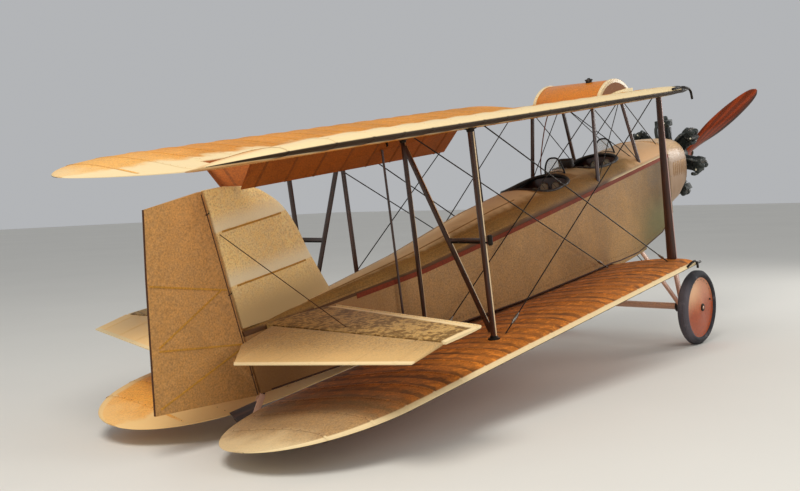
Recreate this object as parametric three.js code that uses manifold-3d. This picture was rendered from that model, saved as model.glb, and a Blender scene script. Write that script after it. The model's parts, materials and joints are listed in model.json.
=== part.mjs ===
// Light two-seat touring biplane with its wings folded back along the fuselage.
//
// Everything is laid out on the level aeroplane: x forward, y to port, z up, in
// millimetres, with zero at the wing fold pins and at the lower leading edge.
// The whole aeroplane is then leant back so that it stands on its main wheels
// and its tail skid, with z = 0 at the ground.

import * as THREE from 'three'
import { mergeVertices } from 'three/addons/utils/BufferGeometryUtils.js'
import Module from 'manifold-3d'

const wasm = await Module()
wasm.setup()

const V = (x, y, z) => new THREE.Vector3(x, y, z)
const degrees = THREE.MathUtils.degToRad

// Driving sizes

const SIDES = [
  { name: 'left', sign: 1 },
  { name: 'right', sign: -1 },
]

const seat = 0.3            // gap kept between pieces that touch
const runClearance = 6      // gap kept between pieces that move past each other

const wingGap = 1400
const foldPinY = 360
const frontOfPin = 775      // fold pin to leading edge
const behindPin = 350       // fold pin to trailing edge
const chord = frontOfPin + behindPin
const halfWing = 4450       // fold pin to wing tip
const rootStart = 26        // fold pin to root rib
const incidence = 0.08      // drop of the chord line per unit of chord
const dihedral = 0.018      // rise of the upper wings along their span, in radians
const frontSpar = 490       // ahead of the fold pin
const rearSpar = -70
const juryForward = 575     // the jury strut and the front stays' roots
const juryStation = 48
const rearStayRoot = 45     // the rear stays pass outside the fuselage
const strutStation = 2490   // fold pin to the interplane struts
const braceHeight = 690     // small brace between the diagonal and the front strut
const stayDiameter = 9
const frontStrut = { wide: 47, thick: 26 }
const rearStrut = { wide: 39, thick: 24 }
const diagonalStrut = { wide: 42, thick: 22 }
const juryStrut = { wide: 90, thick: 32, taper: 0.5 }
const tipEdge = 4           // half thickness left at the very tip
const leadingStraight = 3650
const leadingFullness = 2.1
// For each wing: how far its tip's end lies ahead of the fold pin, where its trailing
// edge stops running straight, and how full that edge then closes round to the tip
const UPPER_PLAN = { tip: 270, straight: 3870, fullness: 1.5 }
const LOWER_PLAN = { tip: 200, straight: 3500, fullness: 2.1 }
const noseStripReach = 90   // how far the nose strip stands out of the root rib

const aileronStart = 1800
const aileronEnd = 3740
const aileronChord = 215
const aileronDroop = degrees(42)
const aileronNose = 15
const AILERON_HINGES = [1950, 2775, 3600]
const aileronRod = { station: 2600, forward: -165, diameter: 17, belowHinge: 66 }

const hingePlate = 8        // thickness of a control surface hinge
const hingeEye = 10         // radius of its eye
const hingePin = 4          // radius of its pin

const wheelAt = V(705, 0, -565)
const wheelTrack = 1540
const wheelRadius = 330
const tyreWidth = 104
const tyreDepth = 62        // from the tread to the rim
const skidFoot = V(-3900, 0, -245)

const thrustLine = 650
const engineX = 1938
const propellerX = 2370
const propellerLength = 1990
const propellerTurn = degrees(54)
const bossHalf = 45         // half the thickness of the propeller's boss
const cylinderCount = 7
const finCount = 7
const headRadius = 425

const tailplaneZ = 384
const elevatorHingeX = -3690
const elevatorDroop = degrees(7)
const ELEVATOR_HINGES = [420, 1230]
const rudderTop = V(-3985, 0, 1270)
const rudderFoot = V(-3795, 0, -10)
const HULL_RUDDER_HINGES = [130]
const FIN_RUDDER_HINGES = [640, 1130]
const postRadius = 18       // rounded nose of the rudder and the elevators

// Fuselage frames: station, half width, keel, longeron and crown heights
const FRAMES = [
  { x: -3850, half: 14, keel: -5, longeron: 366, crown: 404 },
  { x: -2340, half: 200, keel: -20, longeron: 440, crown: 560 },
  { x: -1350, half: 318, keel: -20, longeron: 545, crown: 705 },
  { x: -400, half: 356, keel: -20, longeron: 630, crown: 800 },
  { x: 20, half: 356, keel: -20, longeron: 664, crown: 827 },
  { x: 110, half: 356, keel: -30, longeron: 671, crown: 833 },
  { x: 490, half: 356, keel: -30, longeron: 701, crown: 858 },
  { x: 700, half: 356, keel: 6, longeron: 718, crown: 871 },
  { x: 1000, half: 352, keel: 58, longeron: 740, crown: 890 },
  { x: 1280, half: 340, keel: 190, longeron: 755, crown: 900 },
]
const wallThickness = 18
const deckThickness = 14
const bayAft = -1320        // rear bulkhead of the cockpit bay
const bayFore = 1120
const bayKeel = 12          // the bay's floor lies level above the keel
const hullCorner = 12       // radius of the hull's lower corners
const cowlFront = 1855

const COCKPITS = [
  { name: 'front', centre: 320, length: 580, width: 480, screen: 740, back: 170 },
  { name: 'rear', centre: -530, length: 500, width: 500, screen: -150, back: -770 },
]
const seatHeight = 200
const seatHalf = 190

const centreHalf = 352      // half width of the wing centre sections
const tank = { half: 335, aft: 90, fore: 640, foot: -15, height: 150, rim: 30 }
const tankCap = V(330, -110, 115)

// Wing section, as fractions of the chord: distance from the nose, height
const UPPER_CURVE = [
  [0, 0], [0.02, 0.02], [0.08, 0.04], [0.2, 0.053], [0.35, 0.055],
  [0.55, 0.045], [0.75, 0.027], [1, 0.003],
]
const LOWER_CURVE = [
  [1, -0.003], [0.75, -0.01], [0.5, -0.016], [0.2, -0.02], [0.06, -0.017], [0.012, -0.009],
]
// The part of the section that a nose strip covers, on the upper and on the lower wing
const UPPER_STRIP = [[0.06, -0.017], [0.012, -0.009], [0, 0], [0.02, 0.02], [0.08, 0.04]]
const LOWER_STRIP = [[0.06, -0.017], [0.012, -0.009], [0, 0], [0.006, 0.006]]

// Materials

const finish = (color, roughness, metalness = 0) =>
  new THREE.MeshStandardMaterial({ color, roughness, metalness })

const MATERIALS = {
  wingFabric: () => finish(0xb87a3e, 0.75),
  bodyFabric: () => finish(0xc4a478, 0.75),
  tailFabric: () => finish(0xcdb389, 0.75),
  aileronFabric: () => finish(0x8a3f1f, 0.75),
  cowlMetal: () => finish(0xe2cfa6, 0.4, 0.3),
  tankMetal: () => finish(0xd8822f, 0.45, 0.2),
  darkWood: () => finish(0x4a2a1c, 0.55),
  paleStrut: () => finish(0xb98f78, 0.55),
  engineMetal: () => finish(0x23272a, 0.5, 0.7),
  propellerWood: () => finish(0x8e2f16, 0.35),
  wire: () => finish(0x2a2522, 0.4, 0.8),
  tyre: () => finish(0x1d2026, 0.85),
  wheelDisc: () => finish(0xd9744a, 0.5),
  leather: () => finish(0x2b2119, 0.7),
  screen: () => finish(0xd8e0dc, 0.1),
  steel: () => finish(0x5b5550, 0.4, 0.8),
}

// Making solids

function solidOf(geometry) {
  const bare = geometry.clone()
  bare.deleteAttribute('normal')
  bare.deleteAttribute('uv')
  const merged = mergeVertices(bare, 1e-3)
  return new wasm.Manifold(new wasm.Mesh({
    numProp: 3,
    vertProperties: new Float32Array(merged.attributes.position.array),
    triVerts: new Uint32Array(merged.index.array),
  }))
}

function geometryOf(solid) {
  const { numProp, vertProperties, triVerts } = solid.getMesh()
  const positions = new Float32Array(vertProperties.length / numProp * 3)
  for (let i = 0; i < positions.length / 3; i += 1) {
    positions.set(vertProperties.subarray(i * numProp, i * numProp + 3), i * 3)
  }
  const geometry = new THREE.BufferGeometry()
  geometry.setAttribute('position', new THREE.BufferAttribute(positions, 3))
  geometry.setIndex(new THREE.BufferAttribute(new Uint32Array(triVerts), 1))
  return geometry
}

// The largest of the separate bodies that a cut leaves
function largest(solid) {
  const bodies = solid.decompose()
  return bodies.reduce((best, body) => (body.volume() > best.volume() ? body : best))
}

function joined(solids) {
  return solids.reduce((sum, solid) => sum.add(solid))
}

// A solid grown by the seating gap along each axis
function swollen(solid) {
  const steps = [
    [0, 0, 0], [1, 0, 0], [-1, 0, 0], [0, 1, 0], [0, -1, 0], [0, 0, 1], [0, 0, -1],
  ]
  return joined(steps.map((step) => solid.translate(step.map((v) => v * seat))))
}

// What is left of a piece once its neighbours have taken their room
function clearOf(piece, neighbours) {
  return largest(neighbours.reduce((rest, other) => rest.subtract(swollen(other)), piece))
}

// A closed skin over sections that all have the same number of points
function loftGeometry(sections) {
  const count = sections[0].length
  const positions = sections.flat().flatMap((p) => [p.x, p.y, p.z])
  const index = []
  for (let row = 0; row < sections.length - 1; row += 1) {
    for (let i = 0; i < count; i += 1) {
      const a = row * count + i
      const b = row * count + (i + 1) % count
      index.push(a, b, b + count, a, b + count, a + count)
    }
  }
  for (const [row, forward] of [[0, false], [sections.length - 1, true]]) {
    const outline = capTriangles(sections[row])
    for (const [a, b, c] of outline) {
      const first = row * count
      index.push(first + a, first + (forward ? b : c), first + (forward ? c : b))
    }
  }
  const geometry = new THREE.BufferGeometry()
  geometry.setAttribute('position', new THREE.Float32BufferAttribute(positions, 3))
  geometry.setIndex(index)
  return facingOut(geometry)
}

// Triangles that fill one flat section, wound as its points run
function capTriangles(points) {
  const normal = V(0, 0, 0)
  for (let i = 1; i < points.length - 1; i += 1) {
    const one = points[i].clone().sub(points[0])
    const two = points[i + 1].clone().sub(points[0])
    normal.add(one.cross(two))
  }
  normal.normalize()
  const helper = Math.abs(normal.z) < 0.9 ? V(0, 0, 1) : V(1, 0, 0)
  const across = helper.clone().cross(normal).normalize()
  const up = normal.clone().cross(across)
  const flat = points.map((p) => new THREE.Vector2(p.dot(across), p.dot(up)))
  return THREE.ShapeUtils.triangulateShape(flat, [])
}

function signedVolume(geometry) {
  const p = geometry.attributes.position
  const index = geometry.index
  const corner = (i) => new THREE.Vector3().fromBufferAttribute(p, index.getX(i))
  let total = 0
  for (let i = 0; i < index.count; i += 3) {
    total += corner(i).dot(corner(i + 1).cross(corner(i + 2)))
  }
  return total
}

function facingOut(geometry) {
  if (signedVolume(geometry) < 0) {
    const list = Array.from(geometry.index.array)
    for (let i = 0; i < list.length; i += 3) {
      [list[i + 1], list[i + 2]] = [list[i + 2], list[i + 1]]
    }
    geometry.setIndex(list)
  }
  return geometry
}

const loft = (sections) => solidOf(loftGeometry(sections))

function box(from, to) {
  const size = to.clone().sub(from)
  const geometry = new THREE.BoxGeometry(Math.abs(size.x), Math.abs(size.y), Math.abs(size.z))
  const middle = from.clone().add(to).multiplyScalar(0.5)
  return solidOf(geometry.translate(middle.x, middle.y, middle.z))
}

// A straight bar of oval section; wide lies along the given direction, and taper
// is the share of it left at the far end
function bar(from, to, wide, thick, along = V(1, 0, 0), count = 10, taper = 1) {
  const axis = to.clone().sub(from).normalize()
  const first = along.clone().addScaledVector(axis, -along.dot(axis)).normalize()
  const second = axis.clone().cross(first)
  const ring = (centre, share) => Array.from({ length: count }, (_, i) => {
    const turn = (i + 0.5) / count * 2 * Math.PI
    return centre.clone()
      .addScaledVector(first, Math.cos(turn) * wide * share / 2)
      .addScaledVector(second, Math.sin(turn) * thick / 2)
  })
  return loft([ring(from, 1), ring(to, taper)])
}

const rod = (from, to, diameter, count = 8) => {
  const axis = to.clone().sub(from)
  const along = Math.abs(axis.x) > 0.9 * axis.length() ? V(0, 1, 0) : V(1, 0, 0)
  return bar(from, to, diameter, diameter, along, count)
}

// A turned shape about an axis through a point; profile holds [along, radius]
function turned(profile, at, direction, segments = 16) {
  const points = profile.map(([along, radius]) => new THREE.Vector2(radius, along))
  const geometry = new THREE.LatheGeometry(points, segments)
  const turn = new THREE.Quaternion().setFromUnitVectors(V(0, 1, 0), direction.clone().normalize())
  geometry.applyQuaternion(turn)
  geometry.translate(at.x, at.y, at.z)
  geometry.deleteAttribute('normal')
  geometry.deleteAttribute('uv')
  const merged = mergeVertices(geometry, 1e-3)
  return solidOf(facingOut(withoutSlivers(merged)))
}

// A lathe leaves triangles of no area at its poles
function withoutSlivers(geometry) {
  const list = Array.from(geometry.index.array)
  const kept = []
  for (let i = 0; i < list.length; i += 3) {
    const [a, b, c] = list.slice(i, i + 3)
    if (a !== b && b !== c && c !== a) kept.push(a, b, c)
  }
  geometry.setIndex(kept)
  return geometry
}

const drum = (from, to, radius, at, direction, segments = 12) =>
  turned([[from, 0], [from, radius], [to, radius], [to, 0]], at, direction, segments)

function addMesh(group, name, solid, material) {
  const mesh = new THREE.Mesh(geometryOf(solid), MATERIALS[material]())
  mesh.name = name
  group.add(mesh)
  return mesh
}

// Control surface hinges: a plate on the fixed surface ends in an eye, and the
// moving surface has a slot for the plate and a pin that runs through the eye

function hingePiece(kind) {
  const half = hingePlate / 2
  const origin = V(0, 0, 0)
  const acrossY = V(0, 1, 0)
  if (kind === 'slot') return box(V(-hingeEye - 4, -half - seat, -40), V(60, half + seat, 40))
  if (kind === 'pin') return drum(-half - 8, half + 8, hingePin, origin, acrossY)
  const loose = (hingePin + seat) / Math.cos(Math.PI / 12)
  const arm = box(V(0, -half, -7), V(postRadius + runClearance + 30, half, 7))
  return drum(-half, half, hingeEye, origin, acrossY).add(arm)
    .subtract(drum(-hingePlate, hingePlate, loose, origin, acrossY))
}

// Sets a hinge piece with its pin along the axis and its plate towards the fixed surface
function hingeAt(kind, at, axis, towards) {
  const along = axis.clone().normalize()
  const out = towards.clone().addScaledVector(along, -towards.dot(along)).normalize()
  const basis = new THREE.Matrix4().makeBasis(out, along, out.clone().cross(along))
  return hingePiece(kind).transform(basis.setPosition(at).elements)
}

function withPlates(solid, places, axis, towards) {
  return joined([solid, ...places.map((at) => hingeAt('plate', at, axis, towards))])
}

function withPins(solid, places, axis, towards) {
  const slotted = solid.subtract(joined(places.map((at) => hingeAt('slot', at, axis, towards))))
  return joined([slotted, ...places.map((at) => hingeAt('pin', at, axis, towards))])
}

// Wings, in the wing's own frame: spread, with the fold pin at the origin

const curveHeight = (curve, u) => {
  const sorted = curve[0][0] < curve[curve.length - 1][0] ? curve : [...curve].reverse()
  for (let i = 1; i < sorted.length; i += 1) {
    const [u0, z0] = sorted[i - 1]
    const [u1, z1] = sorted[i]
    if (u <= u1) return z0 + (z1 - z0) * Math.max(0, u - u0) / (u1 - u0)
  }
  return sorted[sorted.length - 1][1]
}

const chordLine = (forward) => -incidence * (frontOfPin - forward)
const topAt = (forward) =>
  chordLine(forward) + chord * curveHeight(UPPER_CURVE, (frontOfPin - forward) / chord)
const bottomAt = (forward) =>
  chordLine(forward) + chord * curveHeight(LOWER_CURVE, (frontOfPin - forward) / chord)
const middleAt = (forward) => (topAt(forward) + bottomAt(forward)) / 2

// An edge that runs straight and then closes round to the tip, the fuller the higher its power
const easedEdge = (station, straight, full, power, tip) => {
  const t = Math.min(1, Math.max(0, (station - straight) / (halfWing - straight)))
  return tip + (full - tip) * Math.pow(1 - Math.pow(t, power), 1 / power)
}

function wingSection(station, sign, { tip, straight, fullness }) {
  const front = easedEdge(station, leadingStraight, frontOfPin, leadingFullness, tip)
  const back = easedEdge(station, straight, -behindPin, fullness, tip)
  const depth = Math.max(front - back, 3 * tipEdge)
  return [...UPPER_CURVE, ...LOWER_CURVE].map(([u, z]) => {
    const forward = front - u * depth
    return V(forward, sign * station, chordLine(forward) + z * depth)
  })
}

function wingSolid(sign, plan) {
  const tipSteps = 9
  const first = Math.min(leadingStraight, plan.straight)
  const last = Math.max(leadingStraight, plan.straight)
  const stations = [rootStart, first]
  for (let i = 1; i <= tipSteps; i += 1) {
    const turn = i / tipSteps * Math.PI / 2
    stations.push(first + (halfWing - tipEdge - first) * Math.sin(turn))
  }
  if (last > first) stations.push(last)
  stations.sort((a, b) => a - b)
  return loft(stations.map((station) => wingSection(station, sign, plan)))
}

// A strip round the nose that closes the gap beside the root rib when the wings are spread
function noseStrip(sign, covered) {
  const thickness = 5
  const middle = new THREE.Vector2(frontOfPin - 0.1 * chord, 0)
  const outer = covered.map(([u, z]) => {
    const forward = frontOfPin - u * chord
    return new THREE.Vector2(forward, chordLine(forward) + z * chord)
  })
  const inner = outer.map((point) => {
    const inward = middle.clone().sub(point)
    return point.clone().addScaledVector(inward, thickness / inward.length())
  })
  const outline = [...outer, ...inner.reverse()]
  const ring = (station) => outline.map((point) => V(point.x, sign * station, point.y))
  return loft([ring(rootStart - noseStripReach), ring(rootStart + 10)])
}

const aileronHinge = -behindPin + aileronChord
const aileronHingeZ = middleAt(aileronHinge)

// The bay that the aileron leaves in the trailing edge
function aileronBay(sign) {
  const front = aileronHinge + aileronNose + runClearance
  return box(
    V(front, sign * (aileronStart - runClearance), -300),
    V(-behindPin - 200, sign * (aileronEnd + runClearance), 300),
  )
}

// Aileron about its own hinge line, hanging at its droop
function aileronSolid(sign) {
  const nose = (turn) => [Math.cos(turn) * aileronNose, Math.sin(turn) * aileronNose]
  const rise = chordLine(-behindPin) - aileronHingeZ
  const outline = [
    nose(Math.PI / 2), nose(Math.PI / 4), nose(0), nose(-Math.PI / 4), nose(-Math.PI / 2),
    [-aileronChord, rise - 4], [-aileronChord, rise + 4],
  ]
  const section = (station) => outline.map(([forward, up]) => {
    const point = new THREE.Vector2(forward, up).rotateAround(new THREE.Vector2(), aileronDroop)
    return V(point.x, sign * station, point.y)
  })
  const places = AILERON_HINGES.map((station) => V(0, sign * station, 0))
  const towards = V(Math.cos(aileronDroop), 0, Math.sin(aileronDroop))
  return withPins(loft([section(aileronStart), section(aileronEnd)]), places, V(0, 1, 0), towards)
}

// Both lugs and the tongue of a fold hinge share the pin's line at the origin
const foldPinRadius = 8
const foldEyeRadius = 16
const foldMiddle = middleAt(0)
const upright = V(0, 0, 1)
const foldDisc = (z0, z1, radius) => drum(z0, z1, radius, V(0, 0, 0), upright, 16)

function foldTongue(sign) {
  const z0 = foldMiddle - 10
  const z1 = foldMiddle + 10
  const arm = box(V(-12, sign * 4, z0), V(12, sign * (rootStart + 20), z1))
  return foldDisc(z0, z1, foldEyeRadius).add(arm)
    .subtract(foldDisc(z0 - 5, z1 + 5, foldPinRadius + 2 * seat))
}

// Lugs in the same frame as the wing; inboard is away from the span
function foldLugs(sign, reach) {
  const layers = [[foldMiddle - 22, foldMiddle - 10.5], [foldMiddle + 10.5, foldMiddle + 22]]
  const pieces = layers.map(([z0, z1]) => {
    const arm = box(V(-10, 0, z0), V(foldEyeRadius, -sign * reach, z1))
    return foldDisc(z0, z1, foldEyeRadius).add(arm)
  })
  return joined([...pieces, foldDisc(foldMiddle - 20, foldMiddle + 20, foldPinRadius)])
}

function upperWingSolid(sign) {
  const cut = wingSolid(sign, UPPER_PLAN).subtract(aileronBay(sign))
  const places = AILERON_HINGES.map((station) => V(aileronHinge, sign * station, aileronHingeZ))
  const flat = withPlates(cut, places, V(0, 1, 0), V(1, 0, 0)).add(noseStrip(sign, UPPER_STRIP))
  const raised = flat.rotate([sign * THREE.MathUtils.radToDeg(dihedral), 0, 0])
  return raised.add(foldTongue(sign)).translate([0, 0, wingGap])
}

function makeWing(side) {
  const { name, sign } = side
  const group = new THREE.Group()
  group.position.set(0, sign * foldPinY, 0)
  group.rotation.z = sign * Math.PI / 2

  const plainLower = wingSolid(sign, LOWER_PLAN)
  const lower = joined([plainLower, noseStrip(sign, LOWER_STRIP), foldTongue(sign)])
  const upper = upperWingSolid(sign)
  addMesh(group, `lower_wing_${name}`, lower, 'wingFabric')
  addMesh(group, `upper_wing_${name}`, upper, 'wingFabric')

  const trim = (piece) => clearOf(piece, [lower, upper])
  const foot = (forward, station) => V(forward, sign * station, middleAt(forward))
  const head = (forward, station) =>
    foot(forward, station).add(V(0, 0, wingGap + dihedral * station))

  addMesh(group, `interplane_struts_${name}`, trim(strutsSolid(foot, head)), 'darkWood')
  const jury = bar(
    foot(juryForward, juryStation), head(juryForward, juryStation),
    juryStrut.wide, juryStrut.thick, V(1, 0, 0), 10, juryStrut.taper,
  )
  addMesh(group, `jury_strut_${name}`, trim(jury), 'darkWood')

  const outer = strutStation - 70
  const planes = [
    { place: 'front', atStruts: frontSpar, atRoot: juryForward, inner: 80 },
    { place: 'rear', atStruts: rearSpar, atRoot: rearStayRoot, inner: 130 },
  ]
  for (const { place, atStruts, atRoot, inner } of planes) {
    const apart = stayDiameter / 2 + 2.5
    const flying = rod(foot(atRoot + apart, inner), head(atStruts + apart, outer), stayDiameter)
    const landing = rod(foot(atStruts - apart, outer), head(atRoot - apart, inner), stayDiameter)
    addMesh(group, `${place}_flying_stay_${name}`, trim(flying), 'wire')
    addMesh(group, `${place}_landing_stay_${name}`, trim(landing), 'wire')
  }

  const { station, forward, diameter, belowHinge } = aileronRod
  const rodTop = head(aileronHinge, station).z - belowHinge
  const push = rod(foot(forward, station), V(forward, sign * station, rodTop), diameter)
  addMesh(group, `aileron_rod_${name}`, trim(push), 'darkWood')

  const panel = new THREE.Group()
  panel.position.set(0, 0, wingGap)
  panel.rotation.x = sign * dihedral
  group.add(panel)
  const aileron = addMesh(panel, `aileron_${name}`, aileronSolid(sign), 'aileronFabric')
  aileron.position.set(aileronHinge, 0, aileronHingeZ)
  return group
}

// Front strut, rear strut, the diagonal between them and a small brace
function strutsSolid(foot, head) {
  const diagonalFoot = foot(frontSpar - 20, strutStation).add(V(0, 0, 90))
  const diagonalHead = head(rearSpar + 10, strutStation).add(V(0, 0, -70))
  const share = (braceHeight - diagonalFoot.z) / (diagonalHead.z - diagonalFoot.z)
  const braceFrom = diagonalFoot.clone().lerp(diagonalHead, share)
  const braceTo = foot(frontSpar, strutStation).setZ(braceHeight)
  const whole = (from, to, { wide, thick }) => bar(from, to, wide, thick)
  return joined([
    whole(foot(frontSpar, strutStation), head(frontSpar, strutStation), frontStrut),
    whole(foot(rearSpar, strutStation), head(rearSpar, strutStation), rearStrut),
    whole(diagonalFoot, diagonalHead, diagonalStrut),
    bar(braceFrom, braceTo, 24, 16, upright, 8),
  ])
}

// Centre sections, between the fold pins

function centreSolid() {
  const section = (y) => [...UPPER_CURVE, ...LOWER_CURVE].map(([u, z]) => {
    const forward = frontOfPin - u * chord
    return V(forward, y, chordLine(forward) + z * chord)
  })
  const whole = loft([section(-centreHalf), section(centreHalf)])
  const behind = box(V(4, -centreHalf - 10, -200), V(-behindPin - 50, centreHalf + 10, 200))
  const pinRoom = foldDisc(-300, 300, foldEyeRadius + runClearance)
  const stripEnd = foldPinY + rootStart - noseStripReach - 2 * runClearance
  const room = SIDES.flatMap(({ sign }) => [
    pinRoom.translate([0, sign * foldPinY, 0]),
    box(V(frontOfPin - 0.1 * chord, sign * stripEnd, -200), V(frontOfPin + 50, sign * 400, 200)),
  ])
  const lugs = SIDES.map(({ sign }) => foldLugs(sign, 60).translate([0, sign * foldPinY, 0]))
  return joined([whole.subtract(behind).subtract(joined(room)), ...lugs])
}

function makeCentre(group) {
  addMesh(group, 'lower_centre_section', clearOf(centreSolid(), [hullSolid()]), 'bodyFabric')
  const upper = centreSolid().translate([0, 0, wingGap])
  addMesh(group, 'upper_centre_section', upper, 'wingFabric')
  addMesh(group, 'fuel_tank', tankSolid(upper), 'tankMetal')
  return upper
}

// An arched tank across the centre section, with a raised rim at each end
function tankSolid(upper) {
  const arch = (y, grow) => {
    const steps = 12
    return Array.from({ length: steps + 1 }, (_, i) => {
      const t = i / steps
      const x = tank.fore + grow + (tank.aft - tank.fore - 2 * grow) * t
      const rise = (tank.height + grow) * Math.pow(Math.sin(Math.PI * t), 0.6)
      return V(x, y, wingGap + tank.foot + rise)
    })
  }
  const span = (from, to, grow) => loft([arch(from, grow), arch(to, grow)])
  const cap = drum(0, 45, 40, tankCap.clone().add(V(0, 0, wingGap)), upright)
  const knob = drum(40, 62, 16, tankCap.clone().add(V(0, 0, wingGap)), upright)
  const pieces = [
    span(-tank.half, tank.half, 0),
    span(-tank.half, -tank.half + tank.rim, 7),
    span(tank.half - tank.rim, tank.half, 7),
    cap,
    knob,
  ]
  return clearOf(joined(pieces), [upper])
}

// Fuselage

const frameAt = (x) => {
  const next = Math.max(1, FRAMES.findIndex((frame) => x <= frame.x))
  const a = FRAMES[next - 1]
  const b = FRAMES[next]
  const t = (x - a.x) / (b.x - a.x)
  const mix = (key) => a[key] + (b[key] - a[key]) * t
  return { x, half: mix('half'), keel: mix('keel'), longeron: mix('longeron'), crown: mix('crown') }
}

function hullSection({ x, half, keel, longeron }, inset = 0, raise = 0) {
  const h = half - inset
  const k = keel + inset
  const r = Math.min(hullCorner, h * 0.4)
  return [
    V(x, h, longeron + raise), V(x, h, k + r), V(x, h - r, k),
    V(x, -h + r, k), V(x, -h, k + r), V(x, -h, longeron + raise),
  ]
}

function deckSection({ x, half, longeron, crown }, inset = 0, drop = 0) {
  const steps = 12
  return Array.from({ length: steps + 1 }, (_, i) => {
    const turn = i / steps * Math.PI
    const y = Math.cos(turn) * (half - inset)
    return V(x, y, longeron + seat - drop + Math.sin(turn) * (crown - longeron - inset + drop))
  })
}

const bayFrames = [bayAft, -400, 20, 600, 1000, bayFore].map((x) => {
  const frame = frameAt(x)
  return { ...frame, keel: Math.max(frame.keel, bayKeel) }
})

const hullSolid = () => loft(FRAMES.map((frame) => hullSection(frame))).subtract(rudderRoom())
const deckSolid = () => loft(FRAMES.map((frame) => deckSection(frame))).subtract(rudderRoom())

function makeFuselage(group) {
  const inner = loft(bayFrames.map((frame) => hullSection(frame, wallThickness, 60)))
  const hull = hullSolid().subtract(inner)
  const places = HULL_RUDDER_HINGES.map(rudderPost)
  addMesh(group, 'fuselage', withPlates(hull, places, rudderAxis, V(1, 0, 0)), 'bodyFabric')

  const hollow = loft(bayFrames.map((frame) => deckSection(frame, deckThickness, 40)))
  const holes = COCKPITS.map(({ centre, length, width }) => cockpitHole(centre, length, width))
  const shell = deckSolid().subtract(hollow).subtract(joined(holes))
  addMesh(group, 'fuselage_deck', shell, 'bodyFabric')
}

// A rounded point on a figure between a circle, at power 1, and a box, near 0
const squircle = (turn, power) => {
  const round = (value) => Math.sign(value) * Math.pow(Math.abs(value), power)
  return [round(Math.cos(turn)), round(Math.sin(turn))]
}

function cockpitHole(centre, length, width) {
  const count = 24
  const ring = (z) => Array.from({ length: count }, (_, i) => {
    const [along, across] = squircle(i / count * 2 * Math.PI, 0.65)
    return V(centre + along * length / 2, across * width / 2, z)
  })
  return loft([ring(500), ring(1100)])
}

function makeCowl(group) {
  const last = FRAMES[FRAMES.length - 1]
  // Station, half width, lowest and highest point, and how square the section is
  const rows = [
    [last.x + seat, last.half, last.keel, last.crown, 0.55],
    [1560, 330, 254, 893, 0.6],
    [1730, 304, 320, 872, 0.7],
    [1812, 268, 380, 842, 0.8],
    [cowlFront, 205, 450, 800, 0.9],
  ]
  const cowl = loft(rows.map(([x, half, low, high, power]) => {
    const count = 24
    const middle = (low + high) / 2
    return Array.from({ length: count }, (_, i) => {
      const [across, up] = squircle(i / count * 2 * Math.PI, power)
      return V(x, across * half, middle + up * (high - low) / 2)
    })
  }))
  addMesh(group, 'nose_cowl', cowl, 'cowlMetal')
}

function seatSolid(back, floor) {
  const wall = 24
  const rim = floor + 420
  const pan = box(V(back, -seatHalf, floor), V(back + 380, seatHalf, floor + seatHeight))
  const rest = box(V(back - 40, -seatHalf, floor), V(back + 20, seatHalf, floor + 600))
  const sides = SIDES.map(({ sign }) => loft([sign * (seatHalf - wall), sign * seatHalf].map((y) => [
    V(back, y, floor + 100), V(back + 330, y, floor + 100), V(back + 330, y, floor + 270),
    V(back + 120, y, rim - 60), V(back, y, rim + 100),
  ])))
  return joined([pan, rest, ...sides])
}

function windscreenSolid(screen) {
  const crown = frameAt(screen).crown
  const thickness = 6
  const rake = 0.45
  // Place across, height over the deck's crown and how far the edge is swept back
  const rows = [
    [-98, 10, 50], [-86, 80, 38], [-47, 122, 0], [47, 122, 0], [86, 80, 38], [98, 10, 50],
  ]
  return loft(rows.map(([y, height, swept]) => {
    const foot = V(screen - swept, y, crown - 60)
    const top = V(screen - swept - rake * height, y, crown + height)
    const thick = V(thickness, 0, 0)
    return [foot, foot.clone().add(thick), top.clone().add(thick), top]
  }))
}

function makeCockpits(group) {
  const floor = bayKeel + wallThickness + seat
  const deck = deckSolid()
  for (const { name, screen, back } of COCKPITS) {
    addMesh(group, `${name}_seat`, seatSolid(back, floor), 'leather')
    addMesh(group, `${name}_windscreen`, clearOf(windscreenSolid(screen), [deck]), 'screen')
  }
}

// Engine and propeller

function cylinderSolid() {
  const barrelRadius = 50
  const finRadius = 74
  const finPitch = 22
  const barrel = [[120, 0], [120, barrelRadius]]
  for (let i = 0; i < finCount; i += 1) {
    const at = 165 + i * finPitch
    barrel.push([at, barrelRadius], [at + 2, finRadius], [at + 9, finRadius], [at + 11, barrelRadius])
  }
  barrel.push([340, barrelRadius], [340, 0])
  const body = turned(barrel, V(0, 0, 0), upright, 10)
  const head = box(V(-76, -74, 322), V(76, 74, 385))
  const rockers = [-1, 1].map((way) =>
    box(V(way * 72, -30, 370), V(way * 16, 30, headRadius)))
  const pushRods = [-1, 1].map((way) => rod(V(96, way * 30, 110), V(50, way * 22, 392), 14, 6))
  return joined([body, head, ...rockers, ...pushRods])
}

function makeEngine(group) {
  const shaftEnd = propellerX - bossHalf - seat
  const caseProfile = [
    [cowlFront + seat, 0], [cowlFront + seat, 120], [1880, 165], [2050, 165], [2090, 125],
    [2230, 95], [shaftEnd, 60], [shaftEnd, 0],
  ]
  const crankcase = turned(caseProfile, V(0, 0, thrustLine), V(1, 0, 0), 24)
  const cylinder = cylinderSolid()
  const ring = Array.from({ length: cylinderCount }, (_, i) => cylinder
    .rotate([i * 360 / cylinderCount, 0, 0])
    .translate([engineX, 0, thrustLine]))
  addMesh(group, 'engine', joined([crankcase, ...ring]), 'engineMetal')
}

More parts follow.
